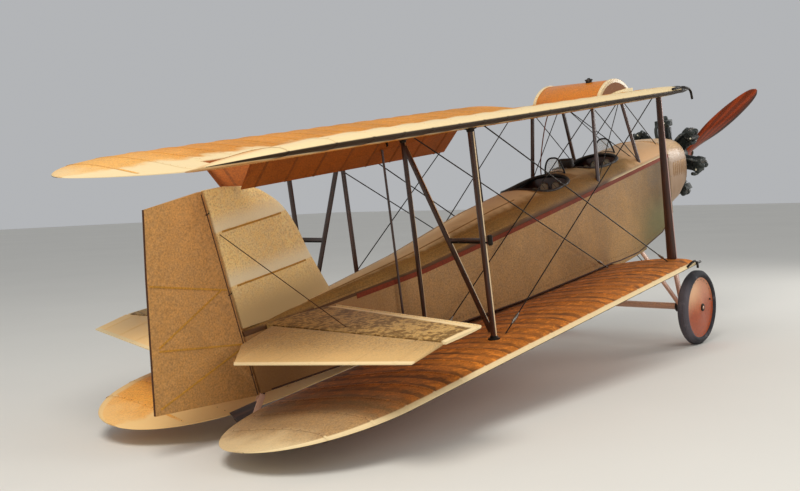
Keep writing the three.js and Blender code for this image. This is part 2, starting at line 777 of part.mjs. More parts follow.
function bladeSolid(way) {
  // Distance from the hub, chord, thickness and twist in degrees
  const rows = [
    [30, 90, 80, 60], [160, 110, 60, 50], [380, 165, 34, 33], [620, 170, 22, 23],
    [840, 135, 14, 18], [950, 85, 9, 16], [propellerLength / 2, 22, 5, 16],
  ]
  const count = 12
  return loft(rows.map(([radius, width, thick, twist]) => Array.from({ length: count }, (_, i) => {
    const turn = i / count * 2 * Math.PI
    const flat = new THREE.Vector2(Math.cos(turn) * thick / 2, Math.sin(turn) * width / 2)
    flat.rotateAround(new THREE.Vector2(), degrees(twist) * way)
    return V(flat.x, flat.y, radius * way)
  })))
}

function makePropeller(group) {
  const alongX = V(1, 0, 0)
  const boss = drum(-bossHalf, bossHalf, 62, V(0, 0, 0), alongX, 20)
  const whole = joined([bladeSolid(1), bladeSolid(-1), boss])
    .rotate([THREE.MathUtils.radToDeg(propellerTurn), 0, 0])
    .translate([propellerX, 0, thrustLine])
  addMesh(group, 'propeller', whole, 'propellerWood')
  const face = bossHalf + seat
  const hub = turned(
    [[face, 0], [face, 75], [60, 75], [72, 40], [100, 34], [100, 0]],
    V(propellerX, 0, thrustLine), alongX, 18,
  )
  addMesh(group, 'propeller_hub', hub, 'steel')
}

// Cabane struts between the fuselage and the upper centre section

function makeCabane(group, upper) {
  const taken = [upper, deckSolid(), hullSolid()]
  // Stations of the foot and of the head
  const struts = [['rear', -65, 15], ['front', 712, 500]]
  for (const { name, sign } of SIDES) {
    for (const [place, lowX, topX] of struts) {
      const low = V(lowX, sign * 330, frameAt(lowX).longeron + 15)
      const strut = bar(low, V(topX, sign * 300, wingGap + middleAt(topX)), 50, 26)
      addMesh(group, `${place}_cabane_strut_${name}`, clearOf(strut, taken), 'darkWood')
    }
  }
}

// Tail

const rudderAxis = rudderTop.clone().sub(rudderFoot).normalize()
const rudderLine = (z) => rudderFoot.x + (rudderTop.x - rudderFoot.x) * (z - rudderFoot.z)
  / (rudderTop.z - rudderFoot.z)
const rudderPost = (z) => V(rudderLine(z), 0, z)

// The room that the rudder's rounded post needs, and all behind it
function rudderRoom() {
  const section = (z) => {
    const front = rudderLine(z) + postRadius + runClearance
    return [V(front, -300, z), V(front, 300, z), V(-5200, 300, z), V(-5200, -300, z)]
  }
  return loft([section(-40), section(1400)])
}

function finSolid() {
  // Height and leading edge of the fin
  const rows = [
    [420, -3030], [750, -3200], [920, -3270], [1080, -3370], [1180, -3490], [1235, -3600], [1268, -3800],
  ]
  // Share of the depth from the leading edge, share of the half thickness
  const outline = [[0, 0.02], [0.12, 0.6], [0.5, 1], [1, 0.84]]
  return loft(rows.map(([z, front], i) => {
    const back = rudderLine(z) + postRadius + runClearance
    const half = i < rows.length - 1 ? 22 : 15
    const side = (way) => outline.map(([t, share]) => V(front + (back - front) * t, way * share * half, z))
    return [...side(1), ...side(-1).reverse()]
  }))
}

function rudderSolid() {
  // Height at the post, height and station of the trailing edge
  const rows = [
    [-6, 104, -4520], [360, 470, -4478], [800, 860, -4430], [1264, 1230, -4376],
  ]
  const plain = loft(rows.map(([postZ, tailZ, tailX]) => {
    const nose = (turn) => rudderPost(postZ)
      .add(V(Math.cos(turn) * postRadius, Math.sin(turn) * postRadius, 0))
    return [
      V(tailX, -4, tailZ), nose(-Math.PI / 2), nose(-Math.PI / 4), nose(0),
      nose(Math.PI / 4), nose(Math.PI / 2), V(tailX, 4, tailZ),
    ]
  }))
  const places = [...HULL_RUDDER_HINGES, ...FIN_RUDDER_HINGES].map(rudderPost)
  return withPins(plain, places, rudderAxis, V(1, 0, 0))
}

function tailplaneSolid(sign) {
  const back = elevatorHingeX + postRadius + runClearance
  // Share of the depth from the leading edge, share of the half thickness
  const outline = [[0, 0.02], [0.15, 0.75], [0.6, 1], [1, 0.84]]
  // Place across, leading edge and half thickness
  const rows = [[0, -3110, 24], [1385, -3330, 11], [1410, -3355, 8]]
  const plain = loft(rows.map(([y, front, half]) => {
    const side = (way) => outline.map(([t, share]) =>
      V(front + (back - front) * t, sign * y, tailplaneZ + way * share * half))
    return [...side(1), ...side(-1).reverse()]
  }))
  const places = ELEVATOR_HINGES.map((y) => V(elevatorHingeX, sign * y, tailplaneZ))
  return withPlates(plain, places, V(0, 1, 0), V(1, 0, 0))
}

// Elevator half about its own hinge line, hanging at its droop
function elevatorSolid(sign) {
  // Place across, trailing edge and radius of the rounded nose
  const rows = [[110, -250, postRadius], [310, -490, postRadius], [1400, -255, 9]]
  const plain = loft(rows.map(([y, back, radius]) => {
    const corner = radius * 0.7
    return [
      V(0, sign * y, radius), V(corner, sign * y, corner), V(radius, sign * y, 0),
      V(corner, sign * y, -corner), V(0, sign * y, -radius),
      V(back, sign * y, -4), V(back, sign * y, 4),
    ]
  }))
  const places = ELEVATOR_HINGES.map((y) => V(0, sign * y, 0))
  return withPins(plain, places, V(0, 1, 0), V(1, 0, 0))
    .rotate([0, -THREE.MathUtils.radToDeg(elevatorDroop), 0])
}

function makeTail(group) {
  const deck = deckSolid()
  const fin = withPlates(
    clearOf(finSolid(), [deck]), FIN_RUDDER_HINGES.map(rudderPost), rudderAxis, V(1, 0, 0),
  )
  addMesh(group, 'fin', fin, 'tailFabric')
  addMesh(group, 'rudder', rudderSolid(), 'tailFabric')
  for (const { name, sign } of SIDES) {
    const half = clearOf(tailplaneSolid(sign), [deck, hullSolid(), fin])
    addMesh(group, `tailplane_${name}`, half, 'tailFabric')
    const elevator = addMesh(group, `elevator_${name}`, elevatorSolid(sign), 'tailFabric')
    elevator.position.set(elevatorHingeX, 0, tailplaneZ)
  }
}

// Undercarriage

const lean = Math.atan2(skidFoot.z - wheelAt.z, wheelAt.x - skidFoot.x)
  + Math.asin(wheelRadius / Math.hypot(wheelAt.x - skidFoot.x, wheelAt.z - skidFoot.z))

function makeGear(group) {
  const stub = wheelTrack / 2 - tyreWidth / 2 - 20
  const onAxle = (y) => V(wheelAt.x, y, wheelAt.z)
  const fairing = bar(onAxle(-stub), onAxle(stub), 78, 60)
  const pins = SIDES.map(({ sign }) =>
    rod(onAxle(sign * (stub - 10)), onAxle(sign * (wheelTrack / 2 + 60)), 30, 16))
  const axle = joined([fairing, ...pins])
  addMesh(group, 'axle', axle, 'paleStrut')

  const taken = [hullSolid(), centreSolid(), axle]
  for (const { name, sign } of SIDES) {
    const foot = onAxle(sign * (stub - 70))
    const frontTop = V(1170, sign * 300, 190)
    const front = clearOf(bar(foot, frontTop, 70, 34), taken)
    const frontRoom = bar(foot, frontTop, 70 + 3 * seat, 34 + 3 * seat)
    const rearLeg = bar(foot.clone().add(V(-20, 0, 0)), V(620, sign * 300, -20), 60, 30)
    const rear = clearOf(rearLeg.subtract(frontRoom), taken)
    addMesh(group, `front_leg_${name}`, front, 'paleStrut')
    addMesh(group, `rear_leg_${name}`, rear, 'paleStrut')
    makeWheel(group, name, sign)
  }
  addMesh(group, 'tail_skid', clearOf(skidSolid(), [hullSolid()]), 'darkWood')
}

// A post under the end of the hull, with a plate behind it, and a shoe
function skidSolid() {
  const post = bar(V(-3722, 0, 30), V(-3890, 0, -190), 44, 22)
  const plateHalf = 7
  const plate = loft([-plateHalf, plateHalf].map((y) => [
    V(-3725, y, 20), V(-3760, y, 20), V(-3775, y, -42), V(-4015, y, -46), V(-3915, y, -215),
    V(-3865, y, -215),
  ]))
  const up = V(Math.sin(lean), 0, Math.cos(lean))
  const along = V(Math.cos(lean), 0, -Math.sin(lean))
  const shoePoint = (forward, rise, y) => skidFoot.clone()
    .addScaledVector(along, forward).addScaledVector(up, rise).add(V(0, y, 0))
  const shoe = loft([-30, 30].map((y) => [
    shoePoint(-40, 0, y), shoePoint(40, 0, y), shoePoint(66, 26, y), shoePoint(40, 62, y),
    shoePoint(-30, 62, y), shoePoint(-56, 22, y),
  ]))
  return joined([post, plate, shoe]).subtract(rudderRoom())
}

function makeWheel(group, name, sign) {
  const segments = 32
  const flat = 1 / Math.cos(Math.PI / segments)
  const r = wheelRadius * flat
  const w = tyreWidth / 2
  const rim = r - tyreDepth
  const tyre = [
    [-w * 0.6, rim], [-w, rim + 22], [-w * 0.75, r - 14], [-w * 0.3, r],
    [w * 0.3, r], [w * 0.75, r - 14], [w, rim + 22], [w * 0.6, rim], [-w * 0.6, rim],
  ]
  const hole = 15 + 0.4
  const rimEdge = w * 0.6 - 2
  const disc = [
    [-50, hole], [-50, 45], [-28, rim - 42], [-rimEdge, rim - seat],
    [rimEdge, rim - seat], [28, rim - 42], [50, 45], [50, hole], [-50, hole],
  ]
  const place = (mesh) => {
    mesh.position.set(wheelAt.x, sign * wheelTrack / 2, wheelAt.z)
    mesh.rotation.y = lean + Math.PI / segments
  }
  const alongY = V(0, 1, 0)
  place(addMesh(group, `tyre_${name}`, turned(tyre, V(0, 0, 0), alongY, segments), 'tyre'))
  place(addMesh(group, `wheel_${name}`, turned(disc, V(0, 0, 0), alongY, segments), 'wheelDisc'))
}

// The whole aeroplane, stood on the ground

function buildAeroplane() {
  const aeroplane = new THREE.Group()
  makeFuselage(aeroplane)
  makeCowl(aeroplane)
  makeCockpits(aeroplane)
  const upper = makeCentre(aeroplane)
  makeCabane(aeroplane, upper)
  makeEngine(aeroplane)
  makePropeller(aeroplane)
  makeTail(aeroplane)
  makeGear(aeroplane)
  for (const side of SIDES) aeroplane.add(makeWing(side))

  aeroplane.rotation.y = -lean
  aeroplane.updateMatrixWorld(true)
  const outline = new THREE.Box3().setFromObject(aeroplane, true)
  const middle = outline.getCenter(V(0, 0, 0))
  aeroplane.position.set(-middle.x, 0, -outline.min.z)
  const standing = new THREE.Group()
  standing.add(aeroplane)
  return standing
}

export default buildAeroplane()
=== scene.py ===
"""The looks of a light two-seat biplane that is parked with its wings folded back."""

import json
import math

import bmesh
import bpy
import numpy as np
from mathutils import Matrix, Vector

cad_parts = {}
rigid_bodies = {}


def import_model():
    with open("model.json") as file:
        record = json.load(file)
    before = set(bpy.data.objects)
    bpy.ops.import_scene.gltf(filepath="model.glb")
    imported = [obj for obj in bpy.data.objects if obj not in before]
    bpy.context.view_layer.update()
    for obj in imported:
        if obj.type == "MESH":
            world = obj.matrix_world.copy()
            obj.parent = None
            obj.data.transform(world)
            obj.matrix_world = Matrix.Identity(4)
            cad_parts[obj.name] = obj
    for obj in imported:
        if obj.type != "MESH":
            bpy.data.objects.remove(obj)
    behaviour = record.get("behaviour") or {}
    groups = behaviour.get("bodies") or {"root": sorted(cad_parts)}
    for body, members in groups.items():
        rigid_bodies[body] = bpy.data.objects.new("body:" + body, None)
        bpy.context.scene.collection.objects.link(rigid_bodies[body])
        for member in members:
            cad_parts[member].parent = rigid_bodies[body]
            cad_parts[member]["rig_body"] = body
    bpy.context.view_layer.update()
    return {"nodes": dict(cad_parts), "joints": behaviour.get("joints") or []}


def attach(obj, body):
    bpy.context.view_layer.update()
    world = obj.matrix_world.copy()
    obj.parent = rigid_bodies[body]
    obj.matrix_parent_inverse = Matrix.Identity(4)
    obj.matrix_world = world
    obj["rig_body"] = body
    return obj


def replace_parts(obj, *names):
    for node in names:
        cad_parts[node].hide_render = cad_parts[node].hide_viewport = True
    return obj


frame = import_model()

bl_info = {
    "name": "Folding-wing biplane",
    "version": (1, 0, 0),
    "blender": (4, 5, 0),
    "location": "3D View > Sidebar > Aeroplane",
    "description": "Finishes a light two-seat biplane with its wings folded back",
    "category": "Add Mesh",
}

# The level aeroplane: x forward, y to port, z up, with zero at the fold pins

JOINTS = {joint["name"]: joint for joint in frame["joints"]}
FOLD = JOINTS["left_wing_fold"]
FOLD_Y = FOLD["pos_m"][1]
UP = -np.array(FOLD["axis"])
FORWARD = np.array([UP[2], 0, -UP[0]])
BASIS = np.array([FORWARD, [0, 1, 0], UP])
ORIGIN = np.array(FOLD["pos_m"]) - [0, FOLD_Y, 0]
LEAN = math.atan2(-UP[0], UP[2])
SIDES = (("left", 1), ("right", -1))


def stand(points):
    """Points of the level aeroplane where they are on the parked one."""
    return ORIGIN + np.asarray(points, float) @ BASIS


# Driving sizes, in metres

WING_GAP = 1.4
FRONT_OF_PIN = 0.775
BEHIND_PIN = 0.35
CHORD = FRONT_OF_PIN + BEHIND_PIN
HALF_WING = 4.45
ROOT_START = 0.026
TIP_EDGE = 0.004
TIP_STEPS = 40
STEPS_PER_BAY = 4
INCIDENCE = 0.08
DIHEDRAL = 0.018
FRONT_SPAR = 0.49
REAR_SPAR = -0.07
LEADING_STRAIGHT = 3.65
LEADING_FULLNESS = 2.1
STRUT_STATION = 2.49
RUN_CLEARANCE = 0.006
NOSE_STRIP_REACH = 0.09
# For each wing: how far its tip's end lies ahead of the fold pin, where its trailing
# edge stops running straight, and how full that edge then closes round to the tip
UPPER_PLAN = (0.27, 3.87, 1.5)
LOWER_PLAN = (0.2, 3.5, 2.1)

STAY_SHIFT = 0.007

AILERON_HINGE = -0.135
AILERON_NOSE = 0.015
AILERON_CHORD = 0.215
AILERON_START = 1.8
AILERON_END = 3.74
AILERON_DROOP = math.radians(42)
AILERON_HINGES = (1.95, 2.775, 3.6)

POST_RADIUS = 0.018
RUDDER_FOOT = np.array([-3.795, 0, -0.01])
RUDDER_TOP = np.array([-3.985, 0, 1.27])
TAILPLANE_Z = 0.384
ELEVATOR_HINGE_X = -3.69
ELEVATOR_DROOP = math.radians(7)
TAILPLANE_FRONT = -3.11
TAILPLANE_SWEEP = 0.159
# Place across the elevator, its trailing edge and the radius of its nose
ELEVATOR_ROWS = np.array([[0.11, -0.25, 0.018], [0.31, -0.49, 0.018], [1.4, -0.255, 0.009]])

THRUST_LINE = 0.65
ENGINE_X = 1.938
PROPELLER_X = 2.37
PROPELLER_LENGTH = 1.99
PROPELLER_TURN = math.radians(54)
CYLINDERS = 7
HEAD_RADIUS = 0.425

WHEEL_AT = np.array([0.705, 0, -0.565])
WHEEL_TRACK = 1.54
WHEEL_RADIUS = 0.33
TYRE_WIDTH = 0.104
TYRE_DEPTH = 0.062

# Station, half width, keel, longeron and crown heights of the fuselage frames
FRAMES = np.array([
    [-3.85, 0.014, -0.005, 0.366, 0.404],
    [-2.34, 0.2, -0.02, 0.44, 0.56],
    [-1.35, 0.318, -0.02, 0.545, 0.705],
    [-0.4, 0.356, -0.02, 0.63, 0.8],
    [0.02, 0.356, -0.02, 0.664, 0.827],
    [0.11, 0.356, -0.03, 0.671, 0.833],
    [0.49, 0.356, -0.03, 0.701, 0.858],
    [0.7, 0.356, 0.006, 0.718, 0.871],
    [1.0, 0.352, 0.058, 0.74, 0.89],
    [1.28, 0.34, 0.19, 0.755, 0.9],
])
COWL_FRONT = 1.855
DECK_WALL = 0.014

# Name, centre, length and width of the opening, stations of the windscreen and of the seat's back
COCKPITS = (
    ("front", 0.32, 0.58, 0.48, 0.74, 0.17),
    ("rear", -0.53, 0.5, 0.5, -0.15, -0.77),
)
OPENING_POWER = 0.65
LINING_DROP = 0.04

TAPE_THICKNESS = 0.0012
TAPE_LIFT = 0.0002
KNOT_SIZE = (0.003, 0.006, 0.0016)
TRAILING_HALF = 0.004
EYE_BORE = 0.0045
EYE_RIM = 0.01
EYE_HALF = 0.004
MERGE_DISTANCE = 1e-5

# How a seat pad is filled: the grid of its mesh, pressure, frames and the most that it may grow
PAD_GRID = 0.011
PAD_PRESSURE = 4
PAD_FRAMES = 15
PAD_GROWTH = 0.014

# Wing section as shares of the chord, from the trailing edge under the wing, round the nose and back
SECTION_POINTS = np.array([
    [1, -0.003], [0.75, -0.01], [0.5, -0.016], [0.2, -0.02], [0.06, -0.017], [0.012, -0.009],
    [0, 0], [0.02, 0.02], [0.08, 0.04], [0.2, 0.053], [0.35, 0.055], [0.55, 0.045],
    [0.75, 0.027], [1, 0.003],
])
NOSE_POINT = 6


# Sizes and colours that a user would change

def colour_prop(label, text, shade):
    return bpy.props.FloatVectorProperty(
        name=label, description=text, default=shade, size=3, min=0, max=1, subtype="COLOR_GAMMA")


def length_prop(label, text, size):
    return bpy.props.FloatProperty(
        name=label, description=text, default=size, min=0, unit="LENGTH", precision=4)


class AeroplaneSizes(bpy.types.PropertyGroup):
    """Sizes of the small things that dress the aeroplane."""
    rib_pitch: length_prop("Rib pitch", "Distance between the wing ribs", 0.245)
    rib_sag: length_prop("Fabric sag", "How far the fabric sinks between two ribs", 0.005)
    tape_width: length_prop("Tape width", "Width of the tape over each rib", 0.022)
    stitch_pitch: length_prop("Stitch pitch", "Distance between the knots along a rib", 0.07)
    wire_radius: length_prop("Wire radius", "Radius of the thin bracing wires", 0.003)
    stay_radius: length_prop("Stay radius", "Radius of the cabane's and tail's bracing", 0.004)
    coaming_radius: length_prop("Coaming radius", "Radius of the padded roll round a cockpit", 0.013)
    stud_radius: length_prop("Stud radius", "Radius of the cowl's fasteners", 0.006)
    fin_count: bpy.props.IntProperty(
        name="Cooling fins", description="Cooling fins on each cylinder barrel", default=12, min=4)


def dressing():
    """The sizes that a user may change."""
    return bpy.context.scene.aeroplane_sizes


class AeroplaneColours(bpy.types.PropertyGroup):
    """Colours of the finishes."""
    wing_top: colour_prop("Wing orange", "Doped fabric of the upper wings", (0.87, 0.57, 0.19))
    # The cream also colours painted highlights: the wings' nose bands, the tail's pale edges and the
    # deck's top
    wing_cream: colour_prop("Wing cream", "Paler band along the leading edges", (0.95, 0.85, 0.65))
    lower_wing: colour_prop("Lower wing", "Doped fabric of the lower wings", (0.72, 0.43, 0.14))
    body_side: colour_prop("Fuselage side", "Doped fabric of the sides", (0.69, 0.54, 0.35))
    body_deck: colour_prop("Fuselage deck", "Doped fabric of the deck", (0.57, 0.43, 0.22))
    tail: colour_prop("Tail fabric", "Doped fabric of the rudder", (0.73, 0.545, 0.32))
    aileron: colour_prop("Aileron fabric", "Doped fabric of the ailerons", (0.62, 0.33, 0.1))
    trim: colour_prop("Red trim", "Stripe along the longerons", (0.5, 0.2, 0.08))
    fin: colour_prop("Fin fabric", "Doped fabric of the fin", (0.97, 0.82, 0.57))
    ochre: colour_prop("Ochre tape", "Tapes on the fin and rudder", (0.72, 0.52, 0.2))
    cowl: colour_prop("Cowl paint", "Painted metal of the nose", (0.84, 0.7, 0.53))
    tank: colour_prop("Tank paint", "Painted metal of the fuel tank", (0.84, 0.49, 0.06))
    dark_wood: colour_prop("Dark wood", "Varnished struts", (0.25, 0.13, 0.08))
    propeller: colour_prop("Propeller wood", "Varnished propeller", (0.54, 0.2, 0.04))
    pale_strut: colour_prop("Pale paint", "Painted undercarriage", (0.9, 0.71, 0.59))
    wheel: colour_prop("Wheel disc", "Painted wheel covers", (0.83, 0.36, 0.12))
    rubber: colour_prop("Rubber", "Tyres", (0.15, 0.15, 0.17))
    leather: colour_prop("Leather", "Seats and coamings", (0.13, 0.1, 0.08))
    enamel: colour_prop("Engine enamel", "Dark engine castings", (0.19, 0.21, 0.2))
    floor: colour_prop("Floor", "Studio floor and background", (0.9, 0.89, 0.86))


# Building materials

# Near black painted shade on the inner walls and floor of the cockpits
PAINTED_INTERIOR_SHADE = (0.07, 0.055, 0.045)
FABRIC_GLOSS = 0.5
# Pale grey for the dust on the tyres and for the painted highlight on their side
DUST_AND_HIGHLIGHT_SHADE = (0.5, 0.47, 0.5)


def linear(shade):
    """A screen colour as the light that a material takes."""
    values = [c / 12.92 if c <= 0.04045 else ((c + 0.055) / 1.055) ** 2.4 for c in shade]
    return (*values, 1.0)


def tinted(shade, factor):
    """A lighter or darker kind of a screen colour."""
    return tuple(min(1.0, c * factor) for c in shade)


def joined_by(operation, swapped=False):
    """A method that joins a socket to a number or to another socket with a Math node."""
    def combine(self, other):
        pair = (other, self) if swapped else (self, other)
        return self.sheet.add("ShaderNodeMath", {"operation": operation}, dict(enumerate(pair)))
    return combine


class Link:
    """One output socket, which takes part in sums as a number does."""

    def __init__(self, sheet, socket):
        self.sheet = sheet
        self.socket = socket

    __add__ = joined_by("ADD")
    __radd__ = joined_by("ADD", True)
    __sub__ = joined_by("SUBTRACT")
    __rsub__ = joined_by("SUBTRACT", True)
    __mul__ = joined_by("MULTIPLY")
    __rmul__ = joined_by("MULTIPLY", True)
    __truediv__ = joined_by("DIVIDE")
    __rtruediv__ = joined_by("DIVIDE", True)


class Sheet:
    """A node tree that is being built."""

    def __init__(self, tree):
        self.tree = tree

    def add(self, kind, settings=None, values=None, output=0):
        """Adds a node, sets it, feeds its inputs and gives the chosen output."""
        node = self.tree.nodes.new(kind)
        for key, value in (settings or {}).items():
            setattr(node, key, value)
        for key, value in (values or {}).items():
            self.feed(node.inputs[key], value)
        return Link(self, node.outputs[output])

    def feed(self, socket, value):
        if isinstance(value, Link):
            self.tree.links.new(value.socket, socket)
        else:
            socket.default_value = value


class Paint(Sheet):
    """A material with one main shader, which may read places on the level aeroplane."""

    def __init__(self, name, level=True, **fixed):
        self.material = bpy.data.materials.new(name)
        self.material.use_nodes = True
        super().__init__(self.material.node_tree)
        self.shader = self.tree.nodes["Principled BSDF"]
        self.set(**fixed)
        self.place = self.add("ShaderNodeTexCoord", output="Object")
        if level:
            ends = {0: self.place, 1: ORIGIN.tolist()}
            moved = self.add("ShaderNodeVectorMath", {"operation": "SUBTRACT"}, ends)
            self.place = self.turned_by(moved, Rotation=(0, LEAN, 0))

    def set(self, **values):
        for key, value in values.items():
            self.feed(self.shader.inputs[key.replace("_", " ")], value)

    def done(self, colour, **values):
        """Sets the colour and the other inputs and gives the finished material."""
        self.set(Base_Color=colour, **values)
        return self.material

    def turned_by(self, place, **values):
        return self.add("ShaderNodeMapping", {"vector_type": "POINT"}, {"Vector": place, **values})

    def axes(self):
        """How far forward, to port and up a point lies."""
        return [self.add("ShaderNodeSeparateXYZ", None, {0: self.place}, axis) for axis in range(3)]

    def noise(self, scale, detail=3, roughness=0.55, stretch=None):
        place = self.turned_by(self.place, Scale=stretch) if stretch else self.place
        values = {"Vector": place, "Scale": scale, "Detail": detail, "Roughness": roughness}
        return self.add("ShaderNodeTexNoise", None, values)

    def wander(self, scale, detail=3):
        """Noise about zero, which makes an edge uneven."""
        return self.noise(scale, detail) - 0.5

    def attribute(self, name):
        return self.add("ShaderNodeAttribute", {"attribute_name": name}, None, "Fac")

    def size_of(self, value):
        return self.add("ShaderNodeMath", {"operation": "ABSOLUTE"}, {0: value})

    def rise(self, value, low, high):
        """A smooth step from 0 at low to 1 at high."""
        settings = {"interpolation_type": "SMOOTHSTEP"}
        return self.add("ShaderNodeMapRange", settings, {0: value, 1: low, 2: high})

    def fall(self, value, low, high):
        """A smooth step from 1 at low to 0 at high."""
        return 1 - self.rise(value, low, high)

    def wrap(self, value, pitch):
        """How far along its pitch a repeating thing is, from 0 to 1."""
        return self.add("ShaderNodeMath", {"operation": "FRACT"}, {0: value / pitch})

    def mix(self, first, second, share):
        sides = [v if isinstance(v, Link) else linear(v) for v in (first, second)]
        settings = {"data_type": "RGBA", "clamp_factor": True}
        return self.add("ShaderNodeMix", settings, {0: share, 6: sides[0], 7: sides[1]}, 2)

    def bump(self, height, strength, distance):
        values = {"Strength": strength, "Distance": distance, "Height": height}
        return self.add("ShaderNodeBump", None, values)

    def speckled(self, shade, depth=0.22):
        """A colour with broad patches, small mottling and a fine grain."""
        patches, mottle, grain = self.noise(2.2), self.noise(26), self.noise(95, 2)
        dim, bright = tinted(shade, 1 - 0.5 * depth), tinted(shade, 1 + 0.5 * depth)
        broad = self.mix(dim, bright, self.rise(patches, 0.3, 0.7))
        warm = (min(1.0, shade[0] * 1.05), shade[1], shade[2] * 0.9)
        cool = (shade[0] * 0.95, shade[1] * 0.95, shade[2])
        tint = self.mix(cool, warm, self.rise(mottle, 0.35, 0.65))
        blended = self.mix(broad, tint, 0.45)
        dotted = self.mix(blended, tinted(shade, 0.7), self.rise(grain, 0.5, 0.66) * 0.45)
        return self.mix(dotted, tinted(shade, 1.25), self.fall(grain, 0.36, 0.46) * 0.3)


class Cloth(Paint):
    """Doped cloth: a faint sheen, uneven gloss and the fine bump of its weave."""

    def __init__(self, name, gloss=FABRIC_GLOSS):
        super().__init__(name, Sheen_Weight=0.04, Sheen_Roughness=0.4, Specular_IOR_Level=0.25)
        warp = self.noise(420, 1, stretch=(1, 0.12, 1))
        weft = self.noise(420, 1, stretch=(0.12, 1, 0.12))
        self.set(Roughness=gloss + 0.25 * self.noise(5), Normal=self.bump(warp + weft, 0.22, 0.0006))


def fabric(name, shade, depth=0.22):
    """Doped fabric of one colour."""
    paint = Cloth(name)
    return paint.done(paint.speckled(shade, depth))


def wing_fabric(name, shade, cream, reach, dark, end_shade, tail=0):
    """Doped wing fabric: a pale band along the nose that is a painted highlight, dark strokes over the
    ribs that are painted rib shadows with lighter patches of painted light, painted shade under the nose,
    and its own tip.
    """
    rib_pitch = dressing().rib_pitch
    paint = Cloth(name, FABRIC_GLOSS - 0.02)
    span, along, under = [paint.attribute(key) for key in ("span", "along", "under")]
    wander = paint.wander(6)
    bay = paint.wrap(span - ROOT_START + 0.05 * along, rib_pitch / 2)
    # Painted rib shadows: dark strokes over the ribs, broken up in patches
    wear_and_shadow_patches = 0.5 + 0.5 * paint.rise(paint.noise(4, 2), 0.4, 0.6)
    shadow = paint.rise(bay + 1.1 * paint.noise(14), 1.08, 1.32) * dark * wear_and_shadow_patches
    # Lighter patches of painted light between the painted rib shadows
    glow = paint.rise(paint.noise(19), 0.53, 0.66) * dark * 0.7
    lit = paint.mix(paint.speckled(shade), tinted(shade, 1.4), glow)
    ribbed = paint.mix(lit, tinted(shade, 0.4), shadow)
    tip = paint.rise(span + 0.5 * wander, HALF_WING - 1.1, HALF_WING - 0.35)
    ended = paint.mix(ribbed, paint.speckled(end_shade, 0.12), tip)
    # The pale band along the nose is a painted highlight
    nose = paint.fall(along + 0.25 * reach * wander, reach * 0.8, reach * 1.2)
    edged = paint.mix(ended, paint.mix(cream, tinted(cream, 0.93), paint.noise(40, 2)), nose)
    back = paint.rise(along + 0.3 * wander, 0.6, 0.72)
    late = back * paint.rise(span + 0.8 * wander, 2.5, 2.9) * tail
    rim = paint.rise(span + 0.3 * wander, HALF_WING - 0.32, HALF_WING - 0.05)
    rimmed = paint.mix(paint.mix(edged, cream, late), cream, rim * 0.6)
    # Painted shade: much darker under the nose, and over the lip of an upper wing's nose
    return paint.done(paint.mix(rimmed, tinted(shade, 0.22), under * paint.fall(along, 0.05, 0.16)))


def side_fabric(name, shade):
    """Fabric of the sides: darker towards the nose as painted shade, greenish low down there, warm and
    dark aft, with painted shade on the inner walls and floor.
    """
    paint = Cloth(name)
    forward, _, up = paint.axes()
    wander = paint.wander(4)
    fore = paint.rise(forward + 0.3 * wander, 0.3, 1.0)
    low = paint.fall(up + 0.15 * wander, 0.2, 0.5)
    floor = paint.rise(paint.attribute("up"), 0.5, 0.7)
    inside = paint.fall(paint.attribute("out") - floor, -0.5, -0.2)
    aft = paint.fall(forward + 0.3 * wander, -3.2, -2.2)
    # Darker towards the nose: painted shade
    colour = paint.mix(paint.speckled(shade), paint.speckled((0.41, 0.31, 0.16)), fore)
    green = paint.mix(colour, (0.47, 0.47, 0.3), fore * low * 0.6)
    # Inner walls and floor of the cockpits: painted shade
    return paint.done(paint.mix(paint.mix(green, (0.6, 0.43, 0.25), aft * 0.8), PAINTED_INTERIOR_SHADE, inside))


def deck_fabric(name, shade, cream, dark):
    """Deck fabric: a painted highlight along its top and on the faces that look up ahead, painted shade
    low on its sides and inside, and a pale painted highlight under the cockpits.
    """
    paint = Cloth(name)
    forward = paint.axes()[0]
    height = paint.attribute("up")
    wander = paint.wander(8)
    # Painted shade low on the sides, where the faces look less up
    sides = paint.mix(dark, paint.speckled(shade), paint.rise(height + 0.3 * wander, 0.25, 0.62))
    # Painted highlight along the top
    top = paint.rise(height + 0.1 * wander, 0.9, 0.985) * (1 - 0.6 * paint.rise(forward, -0.9, 0.1))
    crowned = paint.mix(sides, cream, top * 0.85)
    # Painted highlight on the faces that look up, towards the nose
    ahead = paint.rise(forward + 0.5 * wander, 0.4, 0.75) * paint.rise(height, 0.2, 0.6)
    lighter = paint.mix(crowned, (0.88, 0.7, 0.52), ahead * 0.75)
    # Pale painted highlight low on the sides towards the nose
    fore = paint.rise(forward, 0.02, 0.2) * paint.fall(height, 0.12, 0.5)
    # Painted shade inside the hollow
    inside = paint.fall(height + paint.attribute("out"), -0.4, 0.0)
    return paint.done(paint.mix(paint.mix(lighter, cream, fore * 0.8), PAINTED_INTERIOR_SHADE, inside))


def fin_fabric(name, shade, cream, bands, depth, tilt):
    """Tail fabric with a painted highlight as a pale band above each rib, given by height and by how the
    rib slopes.
    """
    paint = Cloth(name)
    forward, _, up = paint.axes()
    height = up - forward * tilt + 0.03 * paint.wander(7)
    foot = paint.fall(height, bands[0] - 0.2, bands[0] + 0.02)
    colour = paint.mix(paint.speckled(shade, 0.14), tinted(shade, 0.8), foot)
    for low in bands:
        # Painted highlight: a pale band above each rib
        band = paint.rise(height, low, low + 0.012) * paint.fall(height, low + 0.02, low + depth)
        colour = paint.mix(colour, cream, band * 0.85)
    return paint.done(colour)


